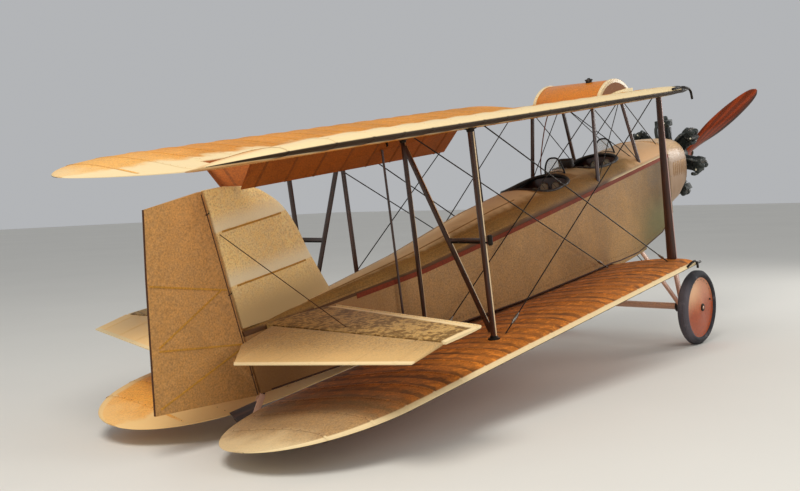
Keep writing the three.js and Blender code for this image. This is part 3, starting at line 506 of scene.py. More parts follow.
def tail_fabric(name, shade, cream, dark):
    """Tailplane fabric: a pale edge in front and at the end as a painted highlight, mottled dark behind
    it.
    """
    paint = Cloth(name)
    forward, port, _ = paint.axes()
    out = paint.size_of(port)
    wander = paint.wander(7, 4)
    ahead = forward + TAILPLANE_SWEEP * out + 0.02 * wander
    # Pale edge in front and at the end: painted highlight
    nose = paint.rise(ahead, TAILPLANE_FRONT - 0.08, TAILPLANE_FRONT - 0.06)
    end = paint.rise(out + 0.02 * wander, 1.375, 1.39)
    patches = paint.rise(paint.noise(34) + 0.5 * wander, 0.42, 0.6)
    base = paint.mix(paint.speckled(shade, 0.1), dark, patches * 0.75)
    return paint.done(paint.mix(paint.mix(base, cream, nose), cream, end))


def elevator_fabric(name, shade, cream):
    """Elevator fabric, paler towards its trailing edge and with a pale line along it; the far elevator is
    painted lighter as painted light.
    """
    paint = Cloth(name)
    forward, port, _ = paint.axes()
    (_, root, _), (inner, wide, _), (outer, narrow, _) = ELEVATOR_ROWS
    slope = (narrow - wide) / (outer - inner)
    start = ELEVATOR_HINGE_X + wide - slope * inner
    reach = forward - slope * paint.size_of(port) - start
    line = paint.fall(reach, 0.022, 0.034)
    pale = paint.fall(reach + 0.06 * paint.wander(7), 0.04, 0.3)
    # The far elevator is painted lighter: painted light
    far = paint.rise(port, -0.1, 0.1)
    lighter = paint.mix(paint.speckled(shade, 0.08), tinted(shade, 1.22), pale * 0.7)
    return paint.done(paint.mix(paint.mix(lighter, (1.0, 0.84, 0.58), far * 0.9), cream, line))


def painted_metal(name, shade, low, metallic=0.15, coat=0.3):
    """Satin paint on sheet metal, with painted shade on the faces that look down or sideways."""
    paint = Paint(name, Metallic=metallic, Coat_Roughness=0.25)
    # Painted shade: the second colour on the faces that look down or sideways
    lit = paint.rise(paint.attribute("up") + 0.3 * paint.wander(9), -0.1, 0.75)
    streaks = paint.noise(14, 4, stretch=(1, 1, 0.25))
    base = paint.mix(low, paint.speckled(shade, 0.1), lit)
    colour = paint.mix(base, tinted(low, 0.55), paint.rise(streaks, 0.6, 0.85) * 0.35)
    bumps = paint.bump(paint.noise(60, 2), 0.12, 0.002)
    return paint.done(colour, Roughness=0.3 + 0.35 * streaks, Coat_Weight=coat, Normal=bumps)


def wood(name, shade, along, coat, edge=None):
    """Varnished wood with its grain along one direction, and perhaps a painted highlight along one edge.
    """
    paint = Paint(name, Coat_Roughness=0.15)
    stretch = [0.08 if axis == along else 1 for axis in "xyz"]
    grain = paint.noise(90, 5, 0.65, stretch)
    figure = paint.noise(16, 3, 0.5, stretch)
    colour = paint.mix(tinted(shade, 0.7), tinted(shade, 1.2), paint.rise(grain, 0.35, 0.7))
    colour = paint.mix(colour, tinted(shade, 1.5), paint.rise(figure, 0.55, 0.8) * 0.35)
    if edge:
        # Painted highlight along one edge of a strut
        colour = paint.mix(colour, edge, paint.rise(paint.attribute("edge") + 0.2 * figure, 0.4, 0.6))
    bumps = paint.bump(grain, 0.15, 0.001)
    return paint.done(colour, Roughness=0.3 + 0.25 * grain, Coat_Weight=coat, Normal=bumps)


def propeller_wood(name, shade):
    """Laminated wood: layers across the shaft, darker along the leading edges."""
    paint = Paint(name, Coat_Roughness=0.1, Coat_Weight=0.6)
    grain = paint.noise(70, 4, 0.6, (1, 0.25, 0.2))
    layer = paint.wrap(paint.axes()[0] + 0.004 * grain, 0.019)
    stripes = paint.rise(layer, 0.45, 0.55) * paint.fall(layer, 0.92, 1.0)
    colour = paint.mix(tinted(shade, 0.85), tinted(shade, 1.12), stripes)
    grained = paint.mix(colour, tinted(shade, 0.5), paint.rise(grain, 0.5, 0.8) * 0.35)
    edge = paint.rise(paint.attribute("lead"), 0.55, 0.8)
    return paint.done(
        paint.mix(grained, tinted(shade, 0.25), edge * 0.85), Roughness=0.22 + 0.25 * grain,
        Normal=paint.bump(grain, 0.1, 0.001))


def cast_metal(name, shade, light, wear, metallic=0.75, roughness=0.42):
    """Cast or turned metal with worn, lighter places."""
    paint = Paint(name, Metallic=metallic)
    rough = paint.noise(120, 4)
    wear_and_shadow_patches = paint.rise(paint.noise(22, 4), 0.55, 0.75) * wear
    return paint.done(
        paint.mix(shade, light, wear_and_shadow_patches), Roughness=roughness - 0.1 + 0.3 * rough,
        Normal=paint.bump(rough, 0.2, 0.0008))


def rubber(name, shade, centre):
    """Matt rubber, dusty on the tread, with a painted highlight on the side that faces the tail."""
    paint = Paint(name)
    dust = paint.rise(paint.noise(18, 4), 0.5, 0.75)
    # Painted highlight on the side that faces the tail, in the same pale grey as the dust
    behind = paint.fall(paint.axes()[0] + 0.1 * dust, centre[0] - 0.27, centre[0] - 0.12)
    return paint.done(
        paint.mix(shade, DUST_AND_HIGHLIGHT_SHADE, dust * 0.35 + behind * 0.45),
        Roughness=0.7 + 0.25 * paint.noise(40), Normal=paint.bump(paint.noise(260, 2), 0.25, 0.0008))


def wheel_paint(name, shade, centre):
    """Painted wheel cover, with a painted highlight towards its top and its rear."""
    paint = Paint(name, Coat_Roughness=0.2, Coat_Weight=0.25)
    forward, _, up = paint.axes()
    wander = paint.wander(10)
    upper = paint.rise(up + 0.08 * wander, centre[2] - 0.06, centre[2] + 0.2)
    rear = paint.rise(forward + 0.06 * wander, centre[0] + 0.1, centre[0] - 0.16)
    low = paint.speckled(tinted(shade, 0.82), 0.15)
    # Painted highlight towards the top and the rear
    return paint.done(
        paint.mix(low, (0.96, 0.76, 0.58), upper * (0.35 + 0.6 * rear)),
        Roughness=0.35 + 0.25 * paint.noise(30), Normal=paint.bump(paint.noise(50, 2), 0.1, 0.001))


def hide(name, shade):
    """Leather with a pebbled grain and rubbed places."""
    paint = Paint(name)
    settings = {"Vector": paint.place, "Scale": 260.0}
    pebbles = paint.add("ShaderNodeTexVoronoi", {"feature": "F1"}, settings)
    rubbed = paint.rise(paint.noise(20, 4), 0.55, 0.8)
    return paint.done(
        paint.mix(shade, tinted(shade, 2.4), rubbed * 0.5), Roughness=0.38 + 0.3 * pebbles,
        Normal=paint.bump(pebbles, 0.35, 0.0008))


def clear_pane(name):
    """Thin clear sheet with a faint haze."""
    paint = Paint(name, IOR=1.3)
    haze = paint.noise(12)
    return paint.done(
        paint.mix((0.85, 0.88, 0.86), (0.95, 0.95, 0.92), haze), Alpha=0.16 + 0.12 * haze,
        Roughness=0.05 + 0.12 * haze)


MATERIALS = {}


def make_materials():
    """Makes every finish from its kind and its shades."""
    tone = bpy.context.scene.aeroplane_colours
    shade = {key: tuple(getattr(tone, key)) for key in AeroplaneColours.__annotations__}
    cream = shade["wing_cream"]
    low, top, dark = shade["lower_wing"], shade["wing_top"], shade["dark_wood"]
    kinds = {
        # The wings' pale nose bands are painted highlights with their reach given, and the next number
        # sets how strong the painted rib shadows are
        "wing_top_right": (wing_fabric, top, cream, 0.2, 0.1, (0.9, 0.66, 0.38)),
        "wing_top_left": (wing_fabric, top, cream, 0.03, 0.1, (0.95, 0.7, 0.36), 1),
        "wing_low_right": (wing_fabric, low, cream, 0.022, 0.72, (0.68, 0.55, 0.38)),
        "wing_low_left": (wing_fabric, low, (0.96, 0.8, 0.54), 0.12, 0.72, (0.97, 0.68, 0.3), 1),
        "body_side": (side_fabric, shade["body_side"]),
        # The deck's dark colour is painted shade low on its sides
        "body_deck": (deck_fabric, shade["body_deck"], cream, (0.36, 0.23, 0.11)),
        # The fin's pale bands are painted highlights
        "fin": (fin_fabric, shade["fin"], (0.96, 0.9, 0.76), (0.882, 1.219), 0.14, 0.053),
        "rudder": (fabric, shade["tail"], 0.12),
        "tailplane": (tail_fabric, (0.76, 0.62, 0.38), cream, (0.36, 0.24, 0.1)),
        "elevator": (elevator_fabric, (0.73, 0.6, 0.4), cream),
        "aileron": (fabric, shade["aileron"], 0.25), "trim": (fabric, shade["trim"], 0.15),
        "ochre": (fabric, shade["ochre"], 0.1), "cream": (fabric, cream, 0.06),
        "seam": (fabric, (0.3, 0.18, 0.1), 0.1), "wing_top_knot": (fabric, (0.88, 0.68, 0.42), 0.08),
        "wing_low_knot": (fabric, (0.5, 0.32, 0.16), 0.08),
        "wing_top_plain": (fabric, tinted(cream, 0.97), 0.08),
        "aileron_tape": (fabric, tinted(shade["aileron"], 0.85), 0.15),
        "body_side_tape": (fabric, tinted(shade["body_side"], 0.85), 0.1),
        "body_deck_tape": (fabric, tinted(shade["body_deck"], 1.05), 0.1),
        # Painted metal's second colour is painted shade on the faces that look down or sideways
        "cowl": (painted_metal, shade["cowl"], (0.6, 0.47, 0.34), 0.0, 0.1),
        "tank": (painted_metal, shade["tank"], (0.7, 0.38, 0.16), 0.05),
        "tank_rim": (painted_metal, cream, (0.72, 0.6, 0.4), 0.0),
        "pale": (painted_metal, shade["pale_strut"], (0.84, 0.65, 0.54), 0.0),
        # The tank's brown end faces are painted shade
        "tank_end": (cast_metal, (0.5, 0.31, 0.16), (0.62, 0.42, 0.24), 0.4, 0.0, 0.75),
        "enamel": (cast_metal, shade["enamel"], (0.62, 0.61, 0.6), 0.6, 0.4, 0.5),
        "steel": (cast_metal, (0.5, 0.48, 0.45), (0.75, 0.73, 0.7), 0.6, 0.9, 0.35),
        "wire": (cast_metal, (0.16, 0.14, 0.12), (0.4, 0.37, 0.33), 0.5, 0.8, 0.4),
        "copper": (cast_metal, (0.48, 0.24, 0.12), (0.75, 0.45, 0.28), 0.5, 0.9, 0.35),
        "black": (cast_metal, (0.07, 0.07, 0.07), (0.2, 0.2, 0.2), 0.3, 0.1, 0.5),
        "dial": (cast_metal, (0.82, 0.8, 0.72), (0.9, 0.88, 0.82), 0.2, 0.0, 0.35),
        # The struts' pale edges are painted highlights
        "strut": (wood, dark, "z", 0.5), "strut_edged": (wood, dark, "z", 0.5, (0.95, 0.84, 0.66)),
        "jury": (wood, dark, "z", 0.3, (0.78, 0.62, 0.58)),
        "skid": (wood, (0.26, 0.17, 0.14), "x", 0.2), "seat_shell": (wood, (0.4, 0.25, 0.15), "z", 0.3),
        "propeller": (propeller_wood, shade["propeller"]),
        # The wheel covers and tyres take painted highlights towards the rear
        "wheel": (wheel_paint, shade["wheel"], WHEEL_AT), "rubber": (rubber, shade["rubber"], WHEEL_AT),
        "leather": (hide, shade["leather"]), "pane": (clear_pane,)}
    for name, (kind, *rest) in kinds.items():
        MATERIALS[name] = kind(name, *rest)


# Building meshes; shapes are lists of points with their faces

def curve_through(points, steps):
    """A smooth line through points, with a number of steps between each two."""
    points = np.asarray(points, float)
    padded = np.vstack([2 * points[0] - points[1], points, 2 * points[-1] - points[-2]])
    line = []
    for i in range(1, len(padded) - 2):
        before, start, end, after = padded[i - 1:i + 3]
        bend = 2 * before - 5 * start + 4 * end - after
        turn = 3 * start - before - 3 * end + after
        for t in np.arange(steps) / steps:
            line.append(0.5 * (2 * start + (end - before) * t + bend * t ** 2 + turn * t ** 3))
    line.append(points[-1])
    return np.array(line)


def loft(rows, closed=True, capped=True):
    """A skin over rows that have the same number of points."""
    rows = np.asarray(rows, float)
    count, width = rows.shape[:2]
    around = width if closed else width - 1
    faces = []
    for i in range(count - 1):
        for j in range(around):
            a = i * width + j
            b = i * width + (j + 1) % width
            faces.append((a, b, b + width, a + width))
    if capped:
        faces.append(tuple(range(width - 1, -1, -1)))
        faces.append(tuple(range((count - 1) * width, count * width)))
    return rows.reshape(-1, 3), faces


def together(shapes):
    """Several shapes as one."""
    points, faces = [], []
    start = 0
    for some_points, some_faces in shapes:
        points.append(np.asarray(some_points, float).reshape(-1, 3))
        faces.extend(tuple(i + start for i in face) for face in some_faces)
        start += len(points[-1])
    return np.vstack(points), faces


def frame_of(axis, towards=None):
    """Two directions square to an axis and to each other."""
    axis = np.asarray(axis, float) / np.linalg.norm(axis)
    helper = np.array(towards if towards is not None else [0, 0, 1], float)
    if abs(helper @ axis) > 0.95 * np.linalg.norm(helper):
        helper = np.array([1.0, 0, 0]) if abs(axis[0]) < 0.9 else np.array([0, 1.0, 0])
    first = helper - (helper @ axis) * axis
    first /= np.linalg.norm(first)
    return axis, first, np.cross(axis, first)


def circle(count, start=0.0):
    turns = start + np.arange(count) / count * 2 * math.pi
    return np.cos(turns), np.sin(turns)


def swung(first, second, angle):
    """Two coordinates, turned by an angle from the first towards the second."""
    cosine, sine = math.cos(angle), math.sin(angle)
    return first * cosine - second * sine, first * sine + second * cosine


def columns(points):
    """Each of the three coordinates of points as one array."""
    return np.moveaxis(np.asarray(points, float), -1, 0)


def washer(low, high, inner, outer):
    """The closed profile of a flat ring between two heights."""
    return [(low, inner), (low, outer), (high, outer), (high, inner), (low, inner)]


def turned(profile, at, axis, segments=48):
    """A shape turned about an axis; the profile holds distance along it and radius."""
    axis, first, second = frame_of(axis)
    cosines, sines = circle(segments)
    ring = cosines[:, None] * first + sines[:, None] * second
    rows = [np.asarray(at) + along * axis + radius * ring for along, radius in profile]
    whole = tuple(profile[0]) == tuple(profile[-1])
    return loft(rows, True, not whole)


def pipe(points, radius, sides=12, closed=False):
    """A round tube along a line; radius may be one number or one for each point."""
    points = np.asarray(points, float)
    radii = np.broadcast_to(radius, len(points))
    if closed:
        ahead = np.roll(points, -1, 0) - np.roll(points, 1, 0)
    else:
        ahead = np.gradient(points, axis=0)
    ahead /= np.linalg.norm(ahead, axis=1)[:, None]
    _, first, _ = frame_of(ahead[0])
    cosines, sines = circle(sides)
    rows = []
    for point, way, size in zip(points, ahead, radii):
        first = first - (first @ way) * way
        first /= np.linalg.norm(first)
        second = np.cross(way, first)
        rows.append(point + size * (cosines[:, None] * first + sines[:, None] * second))
    if closed:
        rows.append(rows[0])
    return loft(rows, True, not closed)


def ribbon(points, normals, width, thickness, lift=0.0):
    """A flat tape along a line, lying on a surface with those normals."""
    points = np.asarray(points, float)
    normals = np.broadcast_to(normals, points.shape)
    ahead = np.gradient(points, axis=0)
    across = np.cross(ahead, normals)
    across /= np.linalg.norm(across, axis=1)[:, None]
    low = points + lift * normals
    high = low + thickness * normals
    half = across * width / 2
    rows = np.stack([low - half, low + half, high + half * 0.9, high - half * 0.9], 1)
    return loft(rows)


def block(centre, size, axes=None):
    """A box about a centre; axes are three directions."""
    axes = np.eye(3) if axes is None else np.asarray(axes, float)
    half = np.asarray(size, float) / 2
    corners = [(-1, -1), (1, -1), (1, 1), (-1, 1)]
    rows = []
    for end in (-1, 1):
        rows.append([np.asarray(centre) + (np.array([end, y, z]) * half) @ axes for y, z in corners])
    return loft(rows)


def tidy_mesh(mesh):
    """Merges doubled points, drops faces of no area and turns the faces outwards."""
    work = bmesh.new()
    work.from_mesh(mesh)
    bmesh.ops.remove_doubles(work, verts=work.verts, dist=MERGE_DISTANCE)
    bmesh.ops.dissolve_degenerate(work, edges=work.edges, dist=MERGE_DISTANCE)
    bmesh.ops.recalc_face_normals(work, faces=work.faces)
    work.to_mesh(mesh)
    work.free()


def shade_by_angle(mesh, degrees):
    mesh.shade_smooth()
    mesh.set_sharp_from_angle(angle=math.radians(degrees))


def keep(mesh, key, numbers, kind="FLOAT", field="value"):
    """Keeps a number, or a vector, for each point of a mesh."""
    attribute = mesh.attributes.get(key) or mesh.attributes.new(key, kind, "POINT")
    attribute.data.foreach_set(field, np.asarray(numbers, np.float32).ravel())


def facings(mesh):
    """The way that each point of a mesh faces."""
    facing = np.empty(3 * len(mesh.vertices), np.float32)
    mesh.vertex_normals.foreach_get("vector", facing)
    return facing.reshape(-1, 3)


def note_rise(mesh):
    """Keeps in a mesh how far each of its points faces up, and away from the middle."""
    facing = facings(mesh)
    place = np.empty(3 * len(mesh.vertices), np.float32)
    mesh.vertices.foreach_get("co", place)
    keep(mesh, "up", facing @ UP)
    keep(mesh, "out", facing[:, 1] * np.sign(place[1::3]))


def settle(thing, finish, body="airframe", angle=35):
    """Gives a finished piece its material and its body."""
    thing.data.materials.clear()
    thing.data.materials.append(MATERIALS[finish])
    note_rise(thing.data)
    shade_by_angle(thing.data, angle)
    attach(thing, body)
    return thing


def new_object(name, data):
    thing = bpy.data.objects.new(name, data)
    bpy.context.scene.collection.objects.link(thing)
    return thing


def object_from(name, shape, edges=()):
    """An object that holds a shape given on the parked aeroplane."""
    mesh = bpy.data.meshes.new(name)
    points, faces = shape
    mesh.from_pydata(np.asarray(points, float).tolist(), list(edges), [list(face) for face in faces])
    return new_object(name, mesh)


def piece(name, shape, finish, slot, body="airframe", angle=35, values=None, bevel=0):
    """Makes a piece from a shape given on the parked aeroplane."""
    thing = object_from(name, shape)
    for key, numbers in (values or {}).items():
        keep(thing.data, key, numbers)
    tidy_mesh(thing.data)
    if bevel:
        bevelled(thing, bevel)
    return settle(thing, finish, body, angle)


def level_piece(name, shape, *rest, **more):
    """Makes a piece from a shape given on the level aeroplane."""
    return piece(name, standing(shape), *rest, **more)


def apply_modifiers(thing):
    """Turns the result of an object's modifiers into its plain mesh."""
    bpy.context.view_layer.update()
    evaluated = thing.evaluated_get(bpy.context.evaluated_depsgraph_get())
    mesh = bpy.data.meshes.new_from_object(evaluated)
    thing.modifiers.clear()
    old = thing.data
    thing.data = mesh
    bpy.data.meshes.remove(old)


def bevelled(thing, width, angle=35):
    modifier = thing.modifiers.new("soft edges", "BEVEL")
    modifier.width = width
    modifier.segments = 2
    modifier.limit_method = "ANGLE"
    modifier.angle_limit = math.radians(angle)
    apply_modifiers(thing)


def cut(thing, shape):
    """Takes a closed shape away from an object."""
    cutter = object_from("cutter", shape)
    tidy_mesh(cutter.data)
    modifier = thing.modifiers.new("cut", "BOOLEAN")
    modifier.operation = "DIFFERENCE"
    modifier.solver = "EXACT"
    modifier.object = cutter
    apply_modifiers(thing)
    bpy.data.objects.remove(cutter)


def finished(node, finish, name=None, angle=50, bevel=0.0015):
    """A copy of a solid with softened edges and smooth shading, which stands for it."""
    mesh = frame["nodes"][node].data.copy()
    mesh.name = name or f"{node}_finished"
    thing = new_object(mesh.name, mesh)
    work = bmesh.new()
    work.from_mesh(mesh)
    bmesh.ops.remove_doubles(work, verts=work.verts, dist=MERGE_DISTANCE)
    flat = math.radians(0.5)
    bmesh.ops.dissolve_limit(work, angle_limit=flat, verts=work.verts, edges=work.edges)
    work.to_mesh(mesh)
    work.free()
    if bevel:
        bevelled(thing, bevel, angle)
    settle(thing, finish, frame["nodes"][node]["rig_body"], angle)
    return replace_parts(thing, node)


# Geometry Nodes trees for what repeats or follows a line

class Grower(Sheet):
    """A Geometry Nodes tree with named inputs."""

    def __init__(self, name, inputs=()):
        group = bpy.data.node_groups.new(name, "GeometryNodeTree")
        super().__init__(group)
        self.sockets = {}
        for label, kind, start in (("Geometry", "Geometry", None), *inputs, ("Finish", "Material", None)):
            kind = f"NodeSocket{kind}"
            socket = self.tree.interface.new_socket(label, in_out="INPUT", socket_type=kind)
            if start is not None:
                socket.default_value = start
            self.sockets[label] = socket.identifier
        group.interface.new_socket("Geometry", in_out="OUTPUT", socket_type="NodeSocketGeometry")
        self.source = group.nodes.new("NodeGroupInput")

    def given(self, label):
        return Link(self, self.source.outputs[label])

    def end(self, geometry):
        whole = self.add("GeometryNodeRealizeInstances", None, {0: geometry})
        smooth = self.add("GeometryNodeSetShadeSmooth", None, {"Geometry": whole})
        values = {"Geometry": smooth, "Material": self.given("Finish")}
        painted = self.add("GeometryNodeSetMaterial", None, values)
        self.feed(self.tree.nodes.new("NodeGroupOutput").inputs[0], painted)
        return self


def cable_tree():
    """Sweeps a round section along every line of the guide."""
    tree = Grower("cables", [("Radius", "Float", 0.003), ("Sides", "Int", 8)])
    line = tree.add("GeometryNodeMeshToCurve", None, {0: tree.given("Geometry")})
    values = {"Resolution": tree.given("Sides"), "Radius": tree.given("Radius")}
    section = tree.add("GeometryNodeCurvePrimitiveCircle", None, values)
    values = {"Curve": line, "Profile Curve": section, "Fill Caps": True}
    return tree.end(tree.add("GeometryNodeCurveToMesh", None, values))


def planted_tree(name, kind, shape):
    """Sets one small shape on every point, turned to its facing and stretched to its size."""
    tree = Grower(name)
    small = tree.add(kind, None, shape)
    vector = {"data_type": "FLOAT_VECTOR"}
    facing, size = [
        tree.add("GeometryNodeInputNamedAttribute", vector, {"Name": key}) for key in ("facing", "size")]
    turn = tree.add("FunctionNodeAlignRotationToVector", {"axis": "Z"}, {"Vector": facing})
    values = {"Points": tree.given("Geometry"), "Instance": small, "Rotation": turn, "Scale": size}
    return tree.end(tree.add("GeometryNodeInstanceOnPoints", None, values))


TREES = {}


def make_trees():
    TREES["cables"] = cable_tree()
    TREES["domes"] = planted_tree(
        "domes", "GeometryNodeMeshUVSphere", {"Segments": 8, "Rings": 5, "Radius": 1.0})
    TREES["discs"] = planted_tree(
        "discs", "GeometryNodeMeshCylinder",
        {"Vertices": 28, "Side Segments": 1, "Radius": 1.0, "Depth": 1.0})


def grow(name, tree, points, edges, finish, body, values=None, spots=None):
    """Runs a tree on guide points of the parked aeroplane and keeps the result as a plain mesh."""
    thing = object_from(name, (points, []), edges)
    for key, vectors in (spots or {}).items():
        keep(thing.data, key, vectors, "FLOAT_VECTOR", "vector")
    modifier = thing.modifiers.new(name, "NODES")
    modifier.node_group = TREES[tree].tree
    for label, value in {**(values or {}), "Finish": MATERIALS[finish]}.items():
        modifier[TREES[tree].sockets[label]] = value
    apply_modifiers(thing)
    return settle(thing, finish, body, angle=45)


def wires(name, lines, radius, finish, body="airframe", sides=8):
    """Round wires along lines given on the parked aeroplane."""
    points, edges = [], []
    for line in lines:
        start = len(points)
        points.extend(line)
        edges.extend((start + i, start + i + 1) for i in range(len(line) - 1))
    return grow(
        name, "cables", points, edges, finish, body, values={"Radius": radius, "Sides": sides})


def planted(name, spots, finish, body="airframe", tree="domes"):
    """Small shapes from rows of place, facing and size, all on the parked aeroplane."""
    places, ways, sizes = zip(*spots)
    return grow(name, tree, places, [], finish, body, spots={"facing": ways, "size": sizes})


# Wings

SECTION_STEPS = 4
SECTION = curve_through(SECTION_POINTS, SECTION_STEPS)
NOSE_INDEX = NOSE_POINT * SECTION_STEPS
# How far over the top of an upper wing's nose its painted shade reaches, as a share of the chord
NOSE_LIP = 0.004


def chord_line(forward):
    return -INCIDENCE * (FRONT_OF_PIN - forward)


def wing_height(forward, side):
    """Height of the upper (1) or lower (-1) surface where the wing has its full chord."""
    share = (FRONT_OF_PIN - forward) / CHORD
    half = SECTION[NOSE_INDEX:] if side > 0 else SECTION[NOSE_INDEX::-1]
    return chord_line(forward) + CHORD * np.interp(share, half[:, 0], half[:, 1])


def wing_middle(forward):
    return (wing_height(forward, 1) + wing_height(forward, -1)) / 2


def eased_edge(station, straight, full, power, tip):
    """An edge that runs straight and then closes round to the tip."""
    t = np.clip((station - straight) / (HALF_WING - straight), 0, 1)
    return tip + (full - tip) * (1 - t ** power) ** (1 / power)


def folded(points, sign, upper):
    """Points of a spread wing, as forward, station and height, in their folded place."""
    forward, station, height = columns(points)
    if upper:
        station, height = swung(station, height, DIHEDRAL)
        height = height + WING_GAP
    return stand(np.stack([-station, sign * (FOLD_Y + forward), height], -1))


def wing_section(station, plan, sag):
    """Points round the wing at a station, the fabric sinking in between the ribs."""
    pitch = dressing().rib_pitch
    tip, straight, fullness = plan
    front = eased_edge(station, LEADING_STRAIGHT, FRONT_OF_PIN, LEADING_FULLNESS, tip)
    back = eased_edge(station, straight, -BEHIND_PIN, fullness, tip)
    depth = max(front - back, 3 * TIP_EDGE)
    share, height = SECTION.T
    forward = front - share * depth
    bay = ((station - ROOT_START) / pitch) % 1
    sink = sag * (1 - (2 * bay - 1) ** 2) * depth / CHORD
    weight = np.clip((share - 0.05) / 0.12, 0, 1) * np.clip((0.97 - share) / 0.1, 0, 1)
    z = chord_line(forward) + height * depth - np.sign(height) * sink * weight
    return np.stack([forward, np.full(len(share), station), z], 1)


def cut_for_bay(row):
    """A section whose rear end is a wall at the front of the aileron's bay."""
    front = AILERON_HINGE + AILERON_NOSE + RUN_CLEARANCE
    row = row.copy()
    aft = row[:, 0] < front
    middle = wing_middle(front)
    for side, chosen in ((-1, slice(None, NOSE_INDEX)), (1, slice(NOSE_INDEX, None))):
        part = row[chosen]
        behind = aft[chosen]
        share = (part[behind, 0] + BEHIND_PIN) / (front + BEHIND_PIN)
        part[behind, 2] = middle + (wing_height(front, side) - middle) * share
        part[behind, 0] = front
    return row


def wing_rows(upper, sag):
    """Sections of one wing from root to tip; the upper wing has a bay for its aileron."""
    plan = UPPER_PLAN if upper else LOWER_PLAN
    first = min(LEADING_STRAIGHT, plan[1])
    inner = np.arange(ROOT_START, first, dressing().rib_pitch / STEPS_PER_BAY)
    turns = np.arange(1, TIP_STEPS + 1) / TIP_STEPS * math.pi / 2
    tip = first + (HALF_WING - TIP_EDGE - first) * np.sin(turns)
    start, end = AILERON_START - RUN_CLEARANCE, AILERON_END + RUN_CLEARANCE
    if not upper:
        start = end = math.inf
    rows = []
    for station in sorted({*inner.round(5), *tip.round(5), *((start, end) if upper else ())}):
        row = wing_section(station, plan, sag)
        if station <= start:
            rows.append(row)
        if start <= station <= end:
            rows.append(cut_for_bay(row))
        if station >= end:
            rows.append(row)
    return rows


def wing_skin(name, sign, upper):
    """The covered wing."""
    rows = np.array(wing_rows(upper, dressing().rib_sag))
    points, faces = loft(rows)
    below = np.arange(len(SECTION)) < NOSE_INDEX
    # The under mask marks where the wing is painted with shade: its underside and the lip of an upper
    # wing's nose
    values = {
        "span": rows[:, :, 1], "along": np.broadcast_to(SECTION[:, 0], rows.shape[:2]),
        "under": np.broadcast_to(below | (SECTION[:, 0] < NOSE_LIP * upper), rows.shape[:2])}
    place, short = ("upper", "top") if upper else ("lower", "low")
    skin = piece(
        f"{place}_wing_skin_{name}", (folded(points, sign, upper), faces), f"wing_{short}_{name}",
        "wing_fabric", f"{name}_wings", angle=40, values=values)
    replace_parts(skin, f"{place}_wing_{name}")


def rib_line(station, upper, side):
    """Points along a rib's edge on one surface."""
    row = wing_section(station, UPPER_PLAN if upper else LOWER_PLAN, 0)
    if upper and AILERON_START < station < AILERON_END:
        row = cut_for_bay(row)
    line = row[NOSE_INDEX + 1:-1] if side > 0 else row[NOSE_INDEX - 1:0:-1]
    steps = np.abs(np.diff(line[:, 0], prepend=line[0, 0] + 1)) > 1e-4
    return line[steps]


def wing_tapes(name, sign, upper):
    """Tape over every rib, top and bottom, with a row of knots along it."""
    sizes = dressing()
    tapes, knots = [], []
    values = {"span": [], "along": [], "under": []}
    for station in np.arange(ROOT_START + sizes.rib_pitch, HALF_WING - 0.12, sizes.rib_pitch):
        for side in (1, -1):
            rib = rib_line(station, upper, side)
            line = folded(rib, sign, upper)
            tapes.append(ribbon(line, UP * side, sizes.tape_width, TAPE_THICKNESS, TAPE_LIFT))
            knots.extend(knots_along(line, UP * side, sizes.stitch_pitch))
            values["span"].append(np.full(4 * len(rib), station))
            values["along"].append(np.repeat((rib[0, 0] - rib[:, 0]) / CHORD, 4))
            # The tapes take the same painted shade
            values["under"].append((side < 0) | (values["along"][-1] < 0.25 * NOSE_LIP * upper))
    place, short = ("upper", "top") if upper else ("lower", "low")
    joined = {key: np.concatenate(parts) for key, parts in values.items()}
    body = f"{name}_wings"
    piece(
        f"{place}_wing_tapes_{name}", together(tapes), f"wing_{short}_{name}", "wing_fabric", body,
        values=joined)
    planted(f"{place}_wing_knots_{name}", knots, f"wing_{short}_knot", body)


def knots_along(line, facing, pitch):
    """Spots for small knots along a line."""
    lengths = np.concatenate([[0], np.cumsum(np.linalg.norm(np.diff(line, axis=0), axis=1))])
    spots = []
    for distance in np.arange(pitch, lengths[-1], pitch):
        place = np.array([np.interp(distance, lengths, line[:, axis]) for axis in range(3)])
        spots.append((place + TAPE_THICKNESS * np.asarray(facing), facing, KNOT_SIZE))
    return spots


def nose_strip(sign, upper):
    """The curved strip beside the root rib that closes the joint when the wings are spread."""
    covered = SECTION[NOSE_INDEX - 7:NOSE_INDEX + (9 if upper else 3)]
    outer = np.stack([FRONT_OF_PIN - covered[:, 0] * CHORD, covered[:, 1] * CHORD], 1)
    outer[:, 1] += chord_line(outer[:, 0])
    middle = np.array([FRONT_OF_PIN - 0.1 * CHORD, 0])
    inward = middle - outer
    inner = outer + 0.005 * inward / np.linalg.norm(inward, axis=1)[:, None]
    outline = np.vstack([outer, inner[::-1]])
    rows = []
    for station in (ROOT_START - NOSE_STRIP_REACH, ROOT_START + 0.01):
        rows.append([[forward, station, z] for forward, z in outline])
    points, faces = loft(rows)
    return folded(points, sign, upper), faces


def fold_fitting(sign, upper):
    """The root rib's tongue at the fold pin."""
    middle = wing_middle(0)
    eye = turned(washer(middle - 0.01, middle + 0.01, 0.009, 0.016), (0, 0, 0), (0, 0, 1), 24)
    arm = block((0, 0.03, middle), (0.024, 0.034, 0.02))
    points, faces = together([eye, arm])
    lifted = points + [0, 0, WING_GAP if upper else 0]
    return folded(lifted, sign, False), faces


